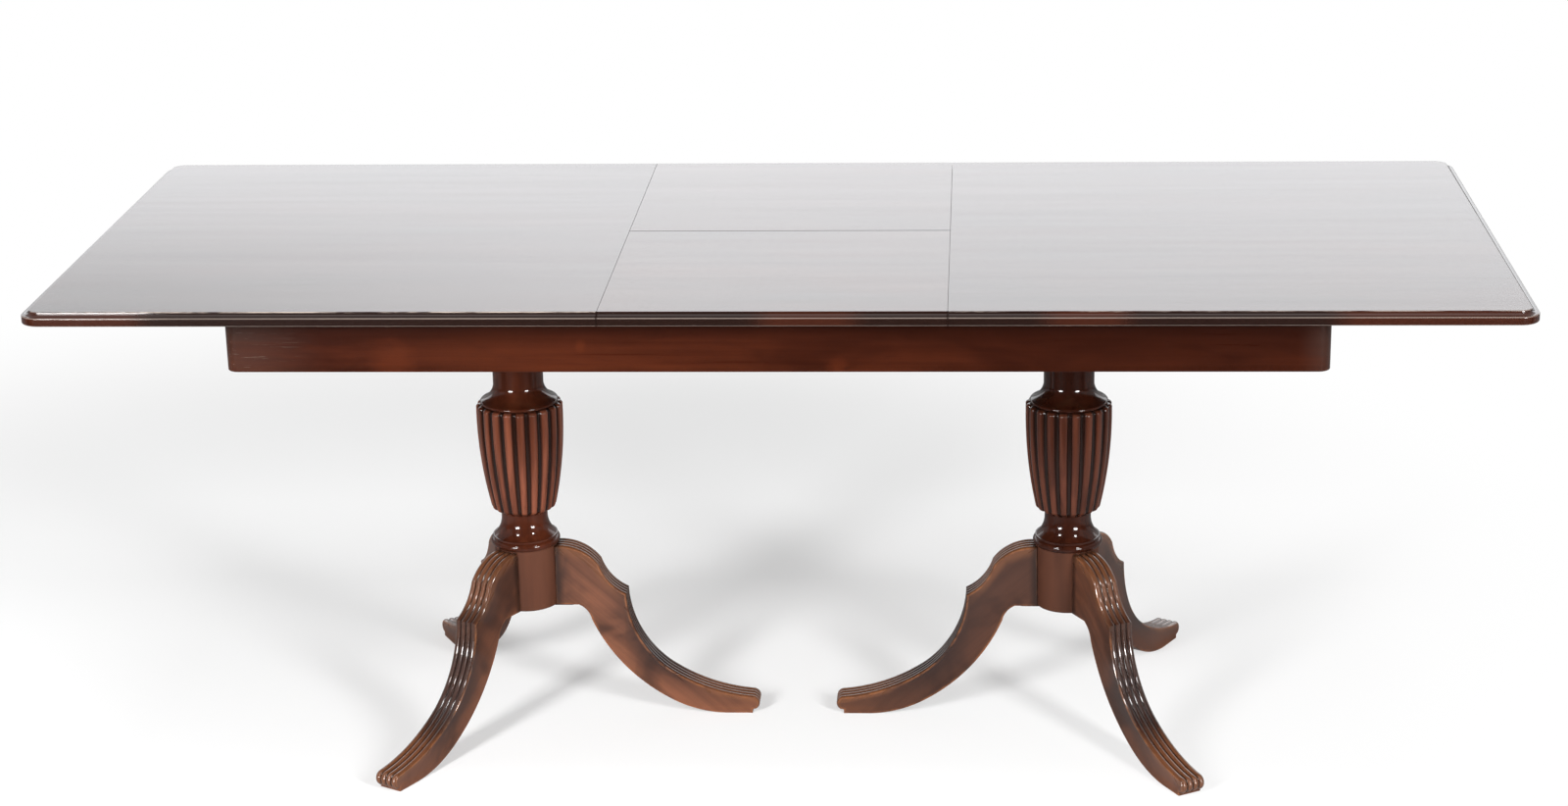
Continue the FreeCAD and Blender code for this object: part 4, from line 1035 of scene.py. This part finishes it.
class TABLE_OT_leaf(bpy.types.Operator):
    """Models the two halves of the folding leaf, with sockets for the fold hinges"""
    bl_idname = "table.leaf"
    bl_label = "Folding leaf"

    def execute(self, context):
        sizes = context.scene.table_top_sizes
        rear = self.model_half(sizes)
        surface_end = LEAF_HIGH.y - sizes.surface_inset - sizes.arris_radius
        arris = LEAF_HIGH.z - sizes.arris_radius / 2
        moulded = lambda place: place.y > surface_end
        mark(rear, "seam", lambda place: self.in_seam(place, sizes))
        # Moulded edge, darkened by the finish as painted shade
        mark(rear, "edge", lambda place: moulded(place) and place.z < arris)
        # Roundings of the nose that get painted highlight lines
        mark(rear, "line", lambda place: moulded(place) and on_nose_highlight(sizes, LEAF_HIGH.z - place.z))
        front = copy_of(rear, "leaf_front", turn=math.pi)
        halves = {"leaf_rear": rear, "leaf_front": front}
        for node, piece in halves.items():
            cut_away(piece, self.hinge_blocks(node, sizes.hinge_width))
            smooth(piece, has_flats=True)
        for node, piece in halves.items():
            settle(piece, node, top_finish(node))
        return {"FINISHED"}

    def model_half(self, sizes):
        """Models the rear half, with eased edges at its seams and its fold."""
        profile = edge_profile(sizes, LEAF_HIGH.z - LEAF_LOW.z)
        edge = [(LEAF_HIGH.y - inset, LEAF_HIGH.z - drop) for inset, drop in profile]
        fold = [(LEAF_LOW.y, LEAF_HIGH.z), (LEAF_LOW.y + sizes.seam_margin, LEAF_HIGH.z)]
        section = fold + edge + [(LEAF_LOW.y, LEAF_LOW.z)]
        seams = (LEAF_LOW.x, LEAF_HIGH.x)
        stations = (seams[0], seams[0] + sizes.seam_margin, seams[1] - sizes.seam_margin, seams[1])
        rear = loft("leaf", [[(x, y, z) for y, z in section] for x in stations])
        for along in seams:
            seam_edge = lambda place: near(place.x, along) and near(place.z, LEAF_HIGH.z)
            ease_edges(rear, seam_edge, sizes.seam_arris)
        eased = LEAF_HIGH.z - 2 * sizes.seam_arris
        fold_edge = lambda place: near(place.y, LEAF_LOW.y) and place.z > eased
        ease_edges(rear, fold_edge, sizes.seam_arris)
        return rear

    def in_seam(self, place, sizes):
        """Whether a place is on the edges at the seams or at the fold."""
        over_underside = LEAF_LOW.z + SLACK < place.z
        if over_underside and place.y - LEAF_LOW.y < sizes.seam_arris + SLACK:
            return True
        gap = min(place.x - LEAF_LOW.x, LEAF_HIGH.x - place.x)
        return over_underside and place.z < LEAF_HIGH.z - SLACK and gap < sizes.seam_arris * SEAM_SHARE

    def hinge_blocks(self, node, width):
        """Blocks as large as the hinge cups of one half, from the fold inwards."""
        low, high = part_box(node.replace("leaf", "fold_hinges"))
        front, rear = (0.0, high.y) if node == "leaf_rear" else (low.y, 0.0)
        starts = (low.x, (low.x + high.x - width) / 2, high.x - width)
        return [add_block("socket", (x, front, low.z), (x + width, rear, high.z)) for x in starts]


class TABLE_OT_apron(bpy.types.Operator):
    """Models the four rails of the apron with rounded corners"""
    bl_idname = "table.apron"
    bl_label = "Apron"

    def execute(self, context):
        sizes = context.scene.table_top_sizes
        front = add_block("front_rail", RAIL_LOW, RAIL_HIGH)
        edit_mesh(front)
        for along in (RAIL_LOW.x, RAIL_HIGH.x):
            pick(front, lambda place: near(place.y, RAIL_LOW.y) and near(place.x, along))
            bpy.ops.mesh.bevel(offset=sizes.apron_radius, segments=APRON_SEGMENTS, affect="EDGES")
        close_edit()
        cut_away(front, [self.groove_block(sizes)])
        right = add_block("end_rail_right", END_LOW, END_HIGH)
        for piece in (front, right):
            round_off(piece, sizes.apron_arris)
            smooth(piece, has_flats=True)
        rear = copy_of(front, "rear_rail", turn=math.pi)
        left = copy_of(right, "end_rail_left", turn=math.pi)
        long_grain, end_grain = apron_finish("apron_long_polish", "X"), apron_finish("apron_end_polish", "Y")
        settle(front, "front_rail", long_grain)
        settle(rear, "rear_rail", long_grain)
        settle(right, "end_rail_right", end_grain)
        settle(left, "end_rail_left", end_grain)
        return {"FINISHED"}

    def groove_block(self, sizes):
        """Block as large as the groove for the runners' tongues."""
        room, depth = sizes.groove_end_room, sizes.groove_depth
        top = RAIL_HIGH.z - sizes.groove_drop
        low = (RAIL_LOW.x + room, RAIL_HIGH.y - depth, top - sizes.groove_height)
        return add_block("groove", low, (RAIL_HIGH.x - room, RAIL_HIGH.y + depth, top))


# Columns

# Curves of the turned profile: shares of the middle point in the box that the curve fills, and steps
SPOOL_CURVE = ((0.70, 0.42), 14)
HEEL_CURVE = ((0.66, 0.23), 7)
SHOULDER_CURVE = ((0.24, 0.72), 9)
NECK_COVE_CURVE = ((0.64, 0.35), 16)
CAPITAL_CURVE = ((0.24, 0.62), 8)
RING_STEPS, URN_STEPS, BEAD_STEPS = 14, 30, 10

# Points round the column for each reed, and the shares of a groove's floor and wall in half a reed
REED_STEPS = 16
FLOOR_SHARE, WALL_SHARE = 0.25, 0.50

# How far a groove's floor rises to its wall and a reed's crown drops to it, as shares of the depth
FLOOR_RISE, CROWN_DROP = 0.10, 0.25

# Depths, as shares, at which dark polish starts and is full
URN_GRIME_DEPTHS = (0.25, 0.75)

# Painted shade: how much darker each column is painted than the lightest one
COLUMN_PAINTED_SHADES = {"column_left": 0.0, "column_right": 0.52}


def column_profile(sizes):
    """Half outline of the turned column from the axis under the block to the axis over the tenon."""
    block, neck, quirk = sizes.block_radius, sizes.neck_radius, sizes.quirk_radius
    capital, tenon = sizes.capital_radius, sizes.tenon_radius
    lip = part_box("cleat_right")[0].z
    points = [(0.0, COLUMN_LOW.z), (block - sizes.block_ease, COLUMN_LOW.z)]
    points += [(block, COLUMN_LOW.z + sizes.block_ease), (block, sizes.block_top)]
    points += bead(points[-1], sizes.ring_radius, (block, sizes.ring_top), RING_STEPS)
    points += [(sizes.fillet_radius, sizes.ring_top), (sizes.fillet_radius, sizes.fillet_top)]
    points.append((sizes.spool_radius, sizes.fillet_top))
    points += curve(points[-1], (sizes.lower_neck_radius, sizes.spool_top), SPOOL_CURVE)
    points += [(sizes.lower_neck_radius, sizes.lower_neck_top), tuple(sizes.urn_foot)]
    points += curve(points[-1], sizes.urn_heel, HEEL_CURVE)
    points += arc(points[-1], sizes.urn_waist, sizes.urn_shoulder, URN_STEPS)
    points += curve(points[-1], sizes.urn_top, SHOULDER_CURVE)
    points += [(quirk, sizes.urn_top[1]), (quirk, sizes.bead_bottom)]
    points += bead(points[-1], sizes.bead_radius, (sizes.cove_radius, sizes.bead_top), BEAD_STEPS)
    points += curve(points[-1], (neck, sizes.cove_top), NECK_COVE_CURVE)
    points.append((neck, sizes.capital_bottom))
    points += curve(points[-1], (capital, lip - sizes.capital_lip), CAPITAL_CURVE)
    return points + [(capital, lip), (tenon, lip), (tenon, COLUMN_HIGH.z), (0.0, COLUMN_HIGH.z)]


def groove_share(share):
    """How far the wood is sunk, from 1 on a groove's floor to 0 on the crest of a reed."""
    if share <= FLOOR_SHARE:
        return 1.0 - FLOOR_RISE * (share / FLOOR_SHARE) ** 2
    if share < WALL_SHARE:
        rise = (share - FLOOR_SHARE) / (WALL_SHARE - FLOOR_SHARE)
        return between((1.0 - FLOOR_RISE, CROWN_DROP), rise)
    return CROWN_DROP * ((1.0 - share) / (1.0 - WALL_SHARE)) ** 2


class TABLE_OT_columns(bpy.types.Operator):
    """Turns the two columns and sinks the grooves between the reeds of their urns"""
    bl_idname = "table.columns"
    bl_label = "Columns"

    def execute(self, context):
        sizes = context.scene.table_column_sizes
        line = [(radius, 0.0, height) for radius, height in column_profile(sizes)]
        column = draw_lines("column", [line], closed=False)
        edit_mesh(column)
        bpy.ops.mesh.select_all(action="SELECT")
        steps = sizes.reed_count * REED_STEPS
        bpy.ops.mesh.spin(steps=steps, angle=FULL_TURN, center=ORIGIN, axis=UPRIGHT)
        close_edit()
        self.sink_grooves(column, sizes)
        smooth(column)
        places = places_of(column)
        depths = [self.sunk(place, sizes) for place in places]
        crests = [self.on_urn(place, sizes) * (1.0 - depth) for place, depth in zip(places, depths)]
        store(column, "groove", [ramp(depth, URN_GRIME_DEPTHS) for depth in depths])
        store(column, "crest", crests)
        mark(column, "plain", lambda place: place.z < sizes.block_top + SLACK)
        right = copy_of(column, "column_right", turn=math.pi, shift=(PEDESTAL, 0.0, 0.0))
        left = copy_of(column, "column_left", shift=(-PEDESTAL, 0.0, 0.0))
        bpy.data.objects.remove(column)
        polish = column_finish()
        for piece, node in ((right, "column_right"), (left, "column_left")):
            # Painted shade of each column
            store(piece, "shade", [COLUMN_PAINTED_SHADES[node]] * len(places))
            settle(piece, node, polish)
        return {"FINISHED"}

    def on_urn(self, place, sizes):
        """Whether a place is on the reeded part of the urn."""
        inner = sizes.quirk_radius if near(place.z, sizes.urn_top[1]) else sizes.lower_neck_radius
        in_height = sizes.urn_foot[1] - SLACK <= place.z <= sizes.urn_top[1] + SLACK
        return in_height and place.xy.length > inner + SLACK

    def reed_step(self, place, sizes):
        """Steps from the middle of the nearest groove."""
        turn = math.atan2(place.y, place.x) / FULL_TURN * sizes.reed_count * REED_STEPS
        return abs(round(turn) - REED_STEPS * round(turn / REED_STEPS))

    def sunk(self, place, sizes):
        """How far the wood is sunk at a place, 0 off the urn."""
        if not self.on_urn(place, sizes):
            return 0.0
        return groove_share(2 * self.reed_step(place, sizes) / REED_STEPS)

    def sink_grooves(self, column, sizes):
        """Draws the wood in towards the axis, one line of the groove's section after another."""
        edit_mesh(column)
        for step in range(REED_STEPS // 2):
            pick(column, lambda place: self.on_urn(place, sizes) and self.reed_step(place, sizes) == step)
            scale = 1.0 - sizes.reed_depth_share * groove_share(2 * step / REED_STEPS)
            bpy.ops.transform.resize(value=(scale, scale, 1.0), center_override=ORIGIN)
        close_edit()


# Legs

# Curves of the leg's reeded edge and of its plain edge by the point that each runs to: shares of the middle
# point in the box that the curve fills, and steps
REEDED_CURVES = {
    "knee": ((0.60, 0.235), 16),
    "beak": ((0.45, 0.66), 12),
    "shin": ((0.255, 0.535), 22),
    "toe": ((0.395, 0.60), 28),
}
PLAIN_CURVES = {
    "calf": ((0.50, 0.27), 12),
    "crook": ((0.64, 0.475), 20),
    "crook_start": ((0.42, 0.67), 8),
}
TOE_STEPS = 12

# Points across each reed, and how steeply a reed falls to its groove
LEG_REED_STEPS = 10
REED_POWER = 2.5

# Depths, as shares, at which dark polish starts and is full
LEG_GRIME_DEPTHS = (0.25, 0.85)

# Least cosine by which a corner's inset is stretched
CORNER_LIMIT = 0.6

# Slope of the grain down the leg, and how far apart the legs lie in the wood that they are cut from
GRAIN_SLOPE = math.radians(42)
LEG_OFFSET = 0.73

# Which way each leg points, in degrees from +X
LEG_TURNS = {
    "left": {"inner": 0.0, "front": -120.0, "rear": 120.0},
    "right": {"inner": 180.0, "front": -60.0, "rear": 60.0},
}

# Painted shade: how much darker each leg is painted than the lightest one
LEG_PAINTED_SHADES = {
    "left": {"inner": 0.0, "front": 0.20, "rear": 0.40},
    "right": {"inner": 0.74, "front": 0.40, "rear": 0.55},
}


def leg_outline(sizes):
    """Side view of the leg: the reeded edge down to the toe, and the plain edge back to the block."""
    upper = [tuple(sizes.root)]
    for name, form in REEDED_CURVES.items():
        upper += curve(upper[-1], getattr(sizes, name), form)
    upper += arc(upper[-1], sizes.nose, sizes.quirk, TOE_STEPS)
    lower = [(sizes.sole_end[0], sizes.quirk[1]), tuple(sizes.sole_end), tuple(sizes.sole_start)]
    for name, form in PLAIN_CURVES.items():
        lower += curve(lower[-1], getattr(sizes, name), form)
    lower.append((sizes.root[0], sizes.crook_start[1]))
    return upper, lower


def inset_outline(points, amounts):
    """Moves each point of a clockwise outline inwards, along the mean of the normals beside it."""
    moved = []
    for index, amount in enumerate(amounts):
        before, here = Vector(points[index - 1]), Vector(points[index])
        after = Vector(points[(index + 1) % len(points)])
        first, second = (here - before).normalized(), (after - here).normalized()
        inward = Vector((first.y + second.y, -first.x - second.x)).normalized()
        stretch = 1.0 / max(inward.dot(Vector((first.y, -first.x))), CORNER_LIMIT)
        moved.append(here + inward * amount * stretch)
    return moved


class TABLE_OT_legs(bpy.types.Operator):
    """Models one sabre leg with a reeded upper edge and sets six of them round the columns"""
    bl_idname = "table.legs"
    bl_label = "Legs"

    def execute(self, context):
        sizes = context.scene.table_leg_sizes
        upper, lower = leg_outline(sizes)
        outline = upper + lower
        reeded = [1.0] * len(upper) + [0.0] * len(lower)
        stations = self.stations(sizes)
        loops, wears, grooves = [], [], []
        for across, depth, rounding, wear in stations:
            amounts = [depth] * len(upper) + [rounding] * len(lower)
            loops.append([(place.x, across, place.y) for place in inset_outline(outline, amounts)])
            wears += [wear] * len(outline)
            between_sides = abs(across) < sizes.thickness / 2 - rounding - SLACK
            groove = ramp(depth / sizes.reed_depth, LEG_GRIME_DEPTHS) if between_sides else 0.0
            grooves += [groove * reed for reed in reeded]
        leg = loft("leg", loops)
        smooth(leg)
        store(leg, "worn", wears)
        store(leg, "reeded", reeded * len(stations))
        store(leg, "groove", grooves)
        store(leg, "reach", [place.x for place in places_of(leg)])
        self.set_legs(leg)
        return {"FINISHED"}

    def stations(self, sizes):
        """Sections across the leg: place, depth of the reeds, rounding of the plain edges, and wear."""
        half, pitch = sizes.thickness / 2, sizes.thickness / sizes.reed_count
        arris, margin = sizes.arris_radius, sizes.worn_width
        found = [(-half, sizes.reed_depth + margin, arris + margin, 0.0)]
        for reed in range(sizes.reed_count):
            is_last = reed == sizes.reed_count - 1
            for step in range(LEG_REED_STEPS + is_last):
                share = (1 - math.cos(math.pi * step / LEG_REED_STEPS)) / 2
                across = -half + pitch * (reed + share)
                near_side = max(arris - half + abs(across), 0.0)
                depth = sizes.reed_depth * abs(2 * share - 1) ** REED_POWER
                rounding = arris - math.sqrt(arris ** 2 - near_side ** 2)
                found.append((across, depth, rounding, float(near_side > 0)))
        found.append((half, sizes.reed_depth + margin, arris + margin, 0.0))
        return found

    def set_legs(self, leg):
        """Copies the leg to its six places, each cut from another part of the wood."""
        polish = leg_finish()
        cosine, sine = math.cos(GRAIN_SLOPE), math.sin(GRAIN_SLOPE)
        wood = [(x * cosine - z * sine, y, x * sine + z * cosine) for x, y, z in places_of(leg)]
        offset = 0.0
        for side, turns in LEG_TURNS.items():
            centre = PEDESTAL if side == "right" else -PEDESTAL
            for name, turn in turns.items():
                piece = copy_of(leg, name, turn=math.radians(turn), shift=(centre, 0.0, 0.0))
                offset += LEG_OFFSET
                attribute = piece.data.attributes.new("leg_place", "FLOAT_VECTOR", "POINT")
                moved = [(x + offset, y + offset, z) for x, y, z in wood]
                attribute.data.foreach_set("vector", [part for place in moved for part in place])
                # Painted shade of each leg
                store(piece, "shade", [LEG_PAINTED_SHADES[side][name]] * len(wood))
                settle(piece, f"leg_{side}_{name}", polish)
        bpy.data.objects.remove(leg)


# Fittings under the top

class TABLE_OT_fittings(bpy.types.Operator):
    """Finishes the frame's hidden timber and the metal of the lift, braces, screws and hinges"""
    bl_idname = "table.fittings"
    bl_label = "Frame and fittings"

    def execute(self, context):
        colours = context.scene.table_colours
        upright = beech_finish("beech_upright", "Z")
        finishes = {
            "frame_beech": beech_finish("beech_across", "Y"),
            "runner_beech": beech_finish("beech_along", "X"),
            "lift_steel": metal_finish("zinc_plate", colours.steel, metallic=1.0, roughness=0.34),
            "brace_steel": metal_finish("brace_lacquer", colours.lacquer, metallic=0.0, roughness=0.42),
            "screw_steel": metal_finish("screw_plate", colours.steel, metallic=1.0, roughness=0.28),
            "hinge_brass": metal_finish("hinge_brass_polish", colours.brass, metallic=1.0, roughness=0.30),
        }
        for node, piece in frame["nodes"].items():
            if SLOT_OF[node] in finishes:
                self.dress(piece, upright if node == "corner_blocks" else finishes[SLOT_OF[node]])
        return {"FINISHED"}

    def dress(self, piece, material):
        """Gives a node of the frame one material all over."""
        if not piece.material_slots:
            piece.data.materials.append(material)
        for place in piece.material_slots:
            place.material = material


# Stage

# Cards beside the table: where the right one stands, and width and height
SIDE_CARD_PLACE = (3.2, -0.6, 1.9)
SIDE_CARD_SIZE = (3.0, 2.2)

# Overhead lamp: where it hangs, what it points at, and width and length
OVERHEAD_PLACE = (0.2, -0.6, 3.3)
OVERHEAD_TARGET = (0.2, 0.0, 0.0)
OVERHEAD_SIZE = (2.6, 1.2)

# Lamps at each side of the camera: where they stand, their heights, what they point at, and width and height
FRONT_PLACES = {"left": (-2.2, -3.4), "right": (2.7, -3.2)}
FRONT_HEIGHT, UPPER_HEIGHT = 1.75, 2.7
FRONT_TARGET = (0.0, 0.0, 0.4)
FRONT_SIZE = (0.7, 0.9)

# Strips of light over those places: height of the middle, and width and height
STRIPS = ((3.05, (0.60, 0.55)), (0.74, (1.10, 0.44)))

# The card's light is a little cool
CARD_TINT = (0.98, 0.99, 1.01)


def floor_finish(settings):
    """White floor that keeps soft shadows near the table and is plain white further off."""
    floor = Finish(bpy.data.materials.new("studio_floor"))
    here = floor.object_place()
    dim = floor.step(floor.axis(here, "Y"), settings.dim_start, settings.dim_end)
    mirrored = floor.mix(dim, grey(settings.floor_mirrored), grey(settings.floor_dim))
    tint = floor.mix(floor.ray("Glossy"), grey(settings.floor_white), mirrored)
    sockets = {"Base Color": tint, "Roughness": settings.floor_roughness, "Specular IOR Level": 0.0}
    floor.feed(floor.shader, sockets)
    glow = floor.node("ShaderNodeEmission", {}, {"Color": grey(1.0), "Strength": 1.0})
    distance = floor.distance(here, settings.shade_middle)
    far = floor.step(distance, settings.white_start, settings.white_end)
    share = floor.ray("Camera") * between((settings.floor_lift, 1.0), far)
    principled = Wire(floor, floor.shader.outputs[0])
    surface = floor.node("ShaderNodeMixShader", {}, {0: share, 1: principled, 2: glow})
    floor.feed(floor.tree.nodes["Material Output"], {"Surface": surface})
    return floor.holder


def card_finish(settings):
    """Glowing card whose light falls off towards its top, and more so on the left."""
    card = Finish(bpy.data.materials.new("back_card"))
    here = card.object_place()
    left = card.mask(card.axis(here, "X"), "card left")
    fall = card.mask(card.axis(here, "Z"), "card top") * between(settings.card_fall, left)
    lights = (settings.card_foot, settings.card_top)
    foot, top = (opaque(mixed(BLACK, CARD_TINT, light)) for light in lights)
    tint = card.mix(fall, foot, top)
    card.feed(card.shader, {"Base Color": grey(0.0), "Emission Color": tint, "Emission Strength": 1.0})
    return card.holder


def glow_finish(name, light):
    """Evenly glowing card."""
    card = Finish(bpy.data.materials.new(name))
    card.feed(card.shader, {"Base Color": grey(0.0), "Emission Color": grey(1.0), "Emission Strength": light})
    return card.holder


def set_sky(settings):
    """Even soft light, white to the camera, and in reflections bright behind the table and dim before it."""
    world = bpy.data.worlds.new("studio")
    bpy.context.scene.world = world
    sky = Finish(world, "Background")
    direction = sky.node("ShaderNodeTexCoord", {}, {}, "Generated")
    behind = sky.mask(sky.axis(direction, "Y"), "sky behind")
    overhead = sky.mask(sky.axis(direction, "Z"), "sky overhead")
    ceiling = settings.ceiling * overhead * (1.0 - behind)
    mirrored = settings.sky_dim + settings.sky_mirrored * behind + ceiling
    unseen = sky.ray("Glossy") * (mirrored - settings.sky_light) + settings.sky_light
    seen = sky.ray("Camera")
    sky.feed(sky.shader, {"Color": grey(1.0), "Strength": seen + (1.0 - seen) * unseen})


def add_lamp(name, place, target, size, power):
    """Soft rectangular lamp that points at a target and doesn't show in the polish."""
    bpy.ops.object.select_all(action="DESELECT")
    turn = (Vector(target) - Vector(place)).to_track_quat("-Z", "Y").to_euler()
    bpy.ops.object.light_add(type="AREA", location=place, rotation=turn)
    lamp = bpy.context.view_layer.objects.active
    lamp.name = name
    lamp.data.shape = "RECTANGLE"
    lamp.data.size, lamp.data.size_y = size
    lamp.data.energy = power
    lamp.visible_glossy = False


def add_card(name, place, size, turn, material):
    """Upright white card that only shows in the polish."""
    bpy.ops.mesh.primitive_plane_add(size=1.0)
    card = bpy.context.view_layer.objects.active
    card.name = name
    card.scale = (*size, 1.0)
    card.rotation_euler = (QUARTER_TURN, 0.0, turn)
    card.location = place
    bpy.ops.object.transform_apply(location=True, rotation=True, scale=True)
    card.data.materials.append(material)
    card.visible_camera = False
    card.visible_diffuse = False
    card.visible_shadow = False


class TABLE_OT_stage(bpy.types.Operator):
    """Sets the camera, the white floor and the soft studio lights"""
    bl_idname = "table.stage"
    bl_label = "Studio"

    def execute(self, context):
        settings = context.scene.table_stage
        self.set_camera(context, settings)
        bpy.ops.mesh.primitive_plane_add(size=settings.floor_size)
        floor = context.view_layer.objects.active
        floor.name = "studio_floor"
        floor.data.materials.append(floor_finish(settings))
        self.set_lights(settings)
        set_sky(settings)
        context.scene.view_settings.view_transform = "Standard"
        return {"FINISHED"}

    def set_camera(self, context, settings):
        bpy.ops.object.select_all(action="DESELECT")
        bpy.ops.object.camera_add(location=settings.camera_place, rotation=settings.camera_turn)
        camera = context.view_layer.objects.active
        camera.data.lens = settings.lens
        camera.data.sensor_width = settings.sensor
        camera.data.shift_x, camera.data.shift_y = settings.shift
        context.scene.camera = camera

    def set_lights(self, settings):
        """Sets up the cards and strips that show in the polish, and the lamps."""
        add_card("back_card", settings.card_place, settings.card_size, 0.0, card_finish(settings))
        side = glow_finish("side_card", settings.side_card)
        x, y, height = SIDE_CARD_PLACE
        for place in ((-x, y, height), (x, y, height)):
            add_card("side_card", place, SIDE_CARD_SIZE, QUARTER_TURN, side)
        add_lamp("overhead", OVERHEAD_PLACE, OVERHEAD_TARGET, OVERHEAD_SIZE, settings.overhead_power)
        strip = glow_finish("strip", settings.strip_light)
        for name, (x, y) in FRONT_PLACES.items():
            power = getattr(settings, f"{name}_power")
            add_lamp(f"front_{name}", (x, y, FRONT_HEIGHT), FRONT_TARGET, FRONT_SIZE, power)
            add_lamp(f"upper_{name}", (x, y, UPPER_HEIGHT), FRONT_TARGET, FRONT_SIZE, settings.upper_power)
            for height, size in STRIPS:
                add_card(f"strip_{name}", (x, y, height), size, math.atan2(-x, y), strip)


# Add-on

class TABLE_PT_build(bpy.types.Panel):
    """Lists the pieces of the table and their sizes"""
    bl_idname = "TABLE_PT_build"
    bl_label = "Dining table"
    bl_space_type = "VIEW_3D"
    bl_region_type = "UI"
    bl_category = "Table"

    def draw(self, context):
        for operator in OPERATORS:
            self.layout.operator(operator.bl_idname)
        for name, group in GROUPS.items():
            box = self.layout.box()
            box.label(text=group.__doc__)
            for field in group.__annotations__:
                box.prop(getattr(context.scene, name), field)


OPERATORS = (
    TABLE_OT_tops,
    TABLE_OT_leaf,
    TABLE_OT_apron,
    TABLE_OT_columns,
    TABLE_OT_legs,
    TABLE_OT_fittings,
    TABLE_OT_stage,
)
CLASSES = (*GROUPS.values(), *OPERATORS, TABLE_PT_build)


def register():
    for cls in CLASSES:
        bpy.utils.register_class(cls)
    for name, group in GROUPS.items():
        setattr(bpy.types.Scene, name, PointerProperty(type=group))


def unregister():
    for name in GROUPS:
        delattr(bpy.types.Scene, name)
    for cls in reversed(CLASSES):
        bpy.utils.unregister_class(cls)


def main():
    """Builds every piece in order."""
    register()
    bpy.ops.table.tops()
    bpy.ops.table.leaf()
    bpy.ops.table.apron()
    bpy.ops.table.columns()
    bpy.ops.table.legs()
    bpy.ops.table.fittings()
    bpy.ops.table.stage()


if __name__ == "__main__":
    main()
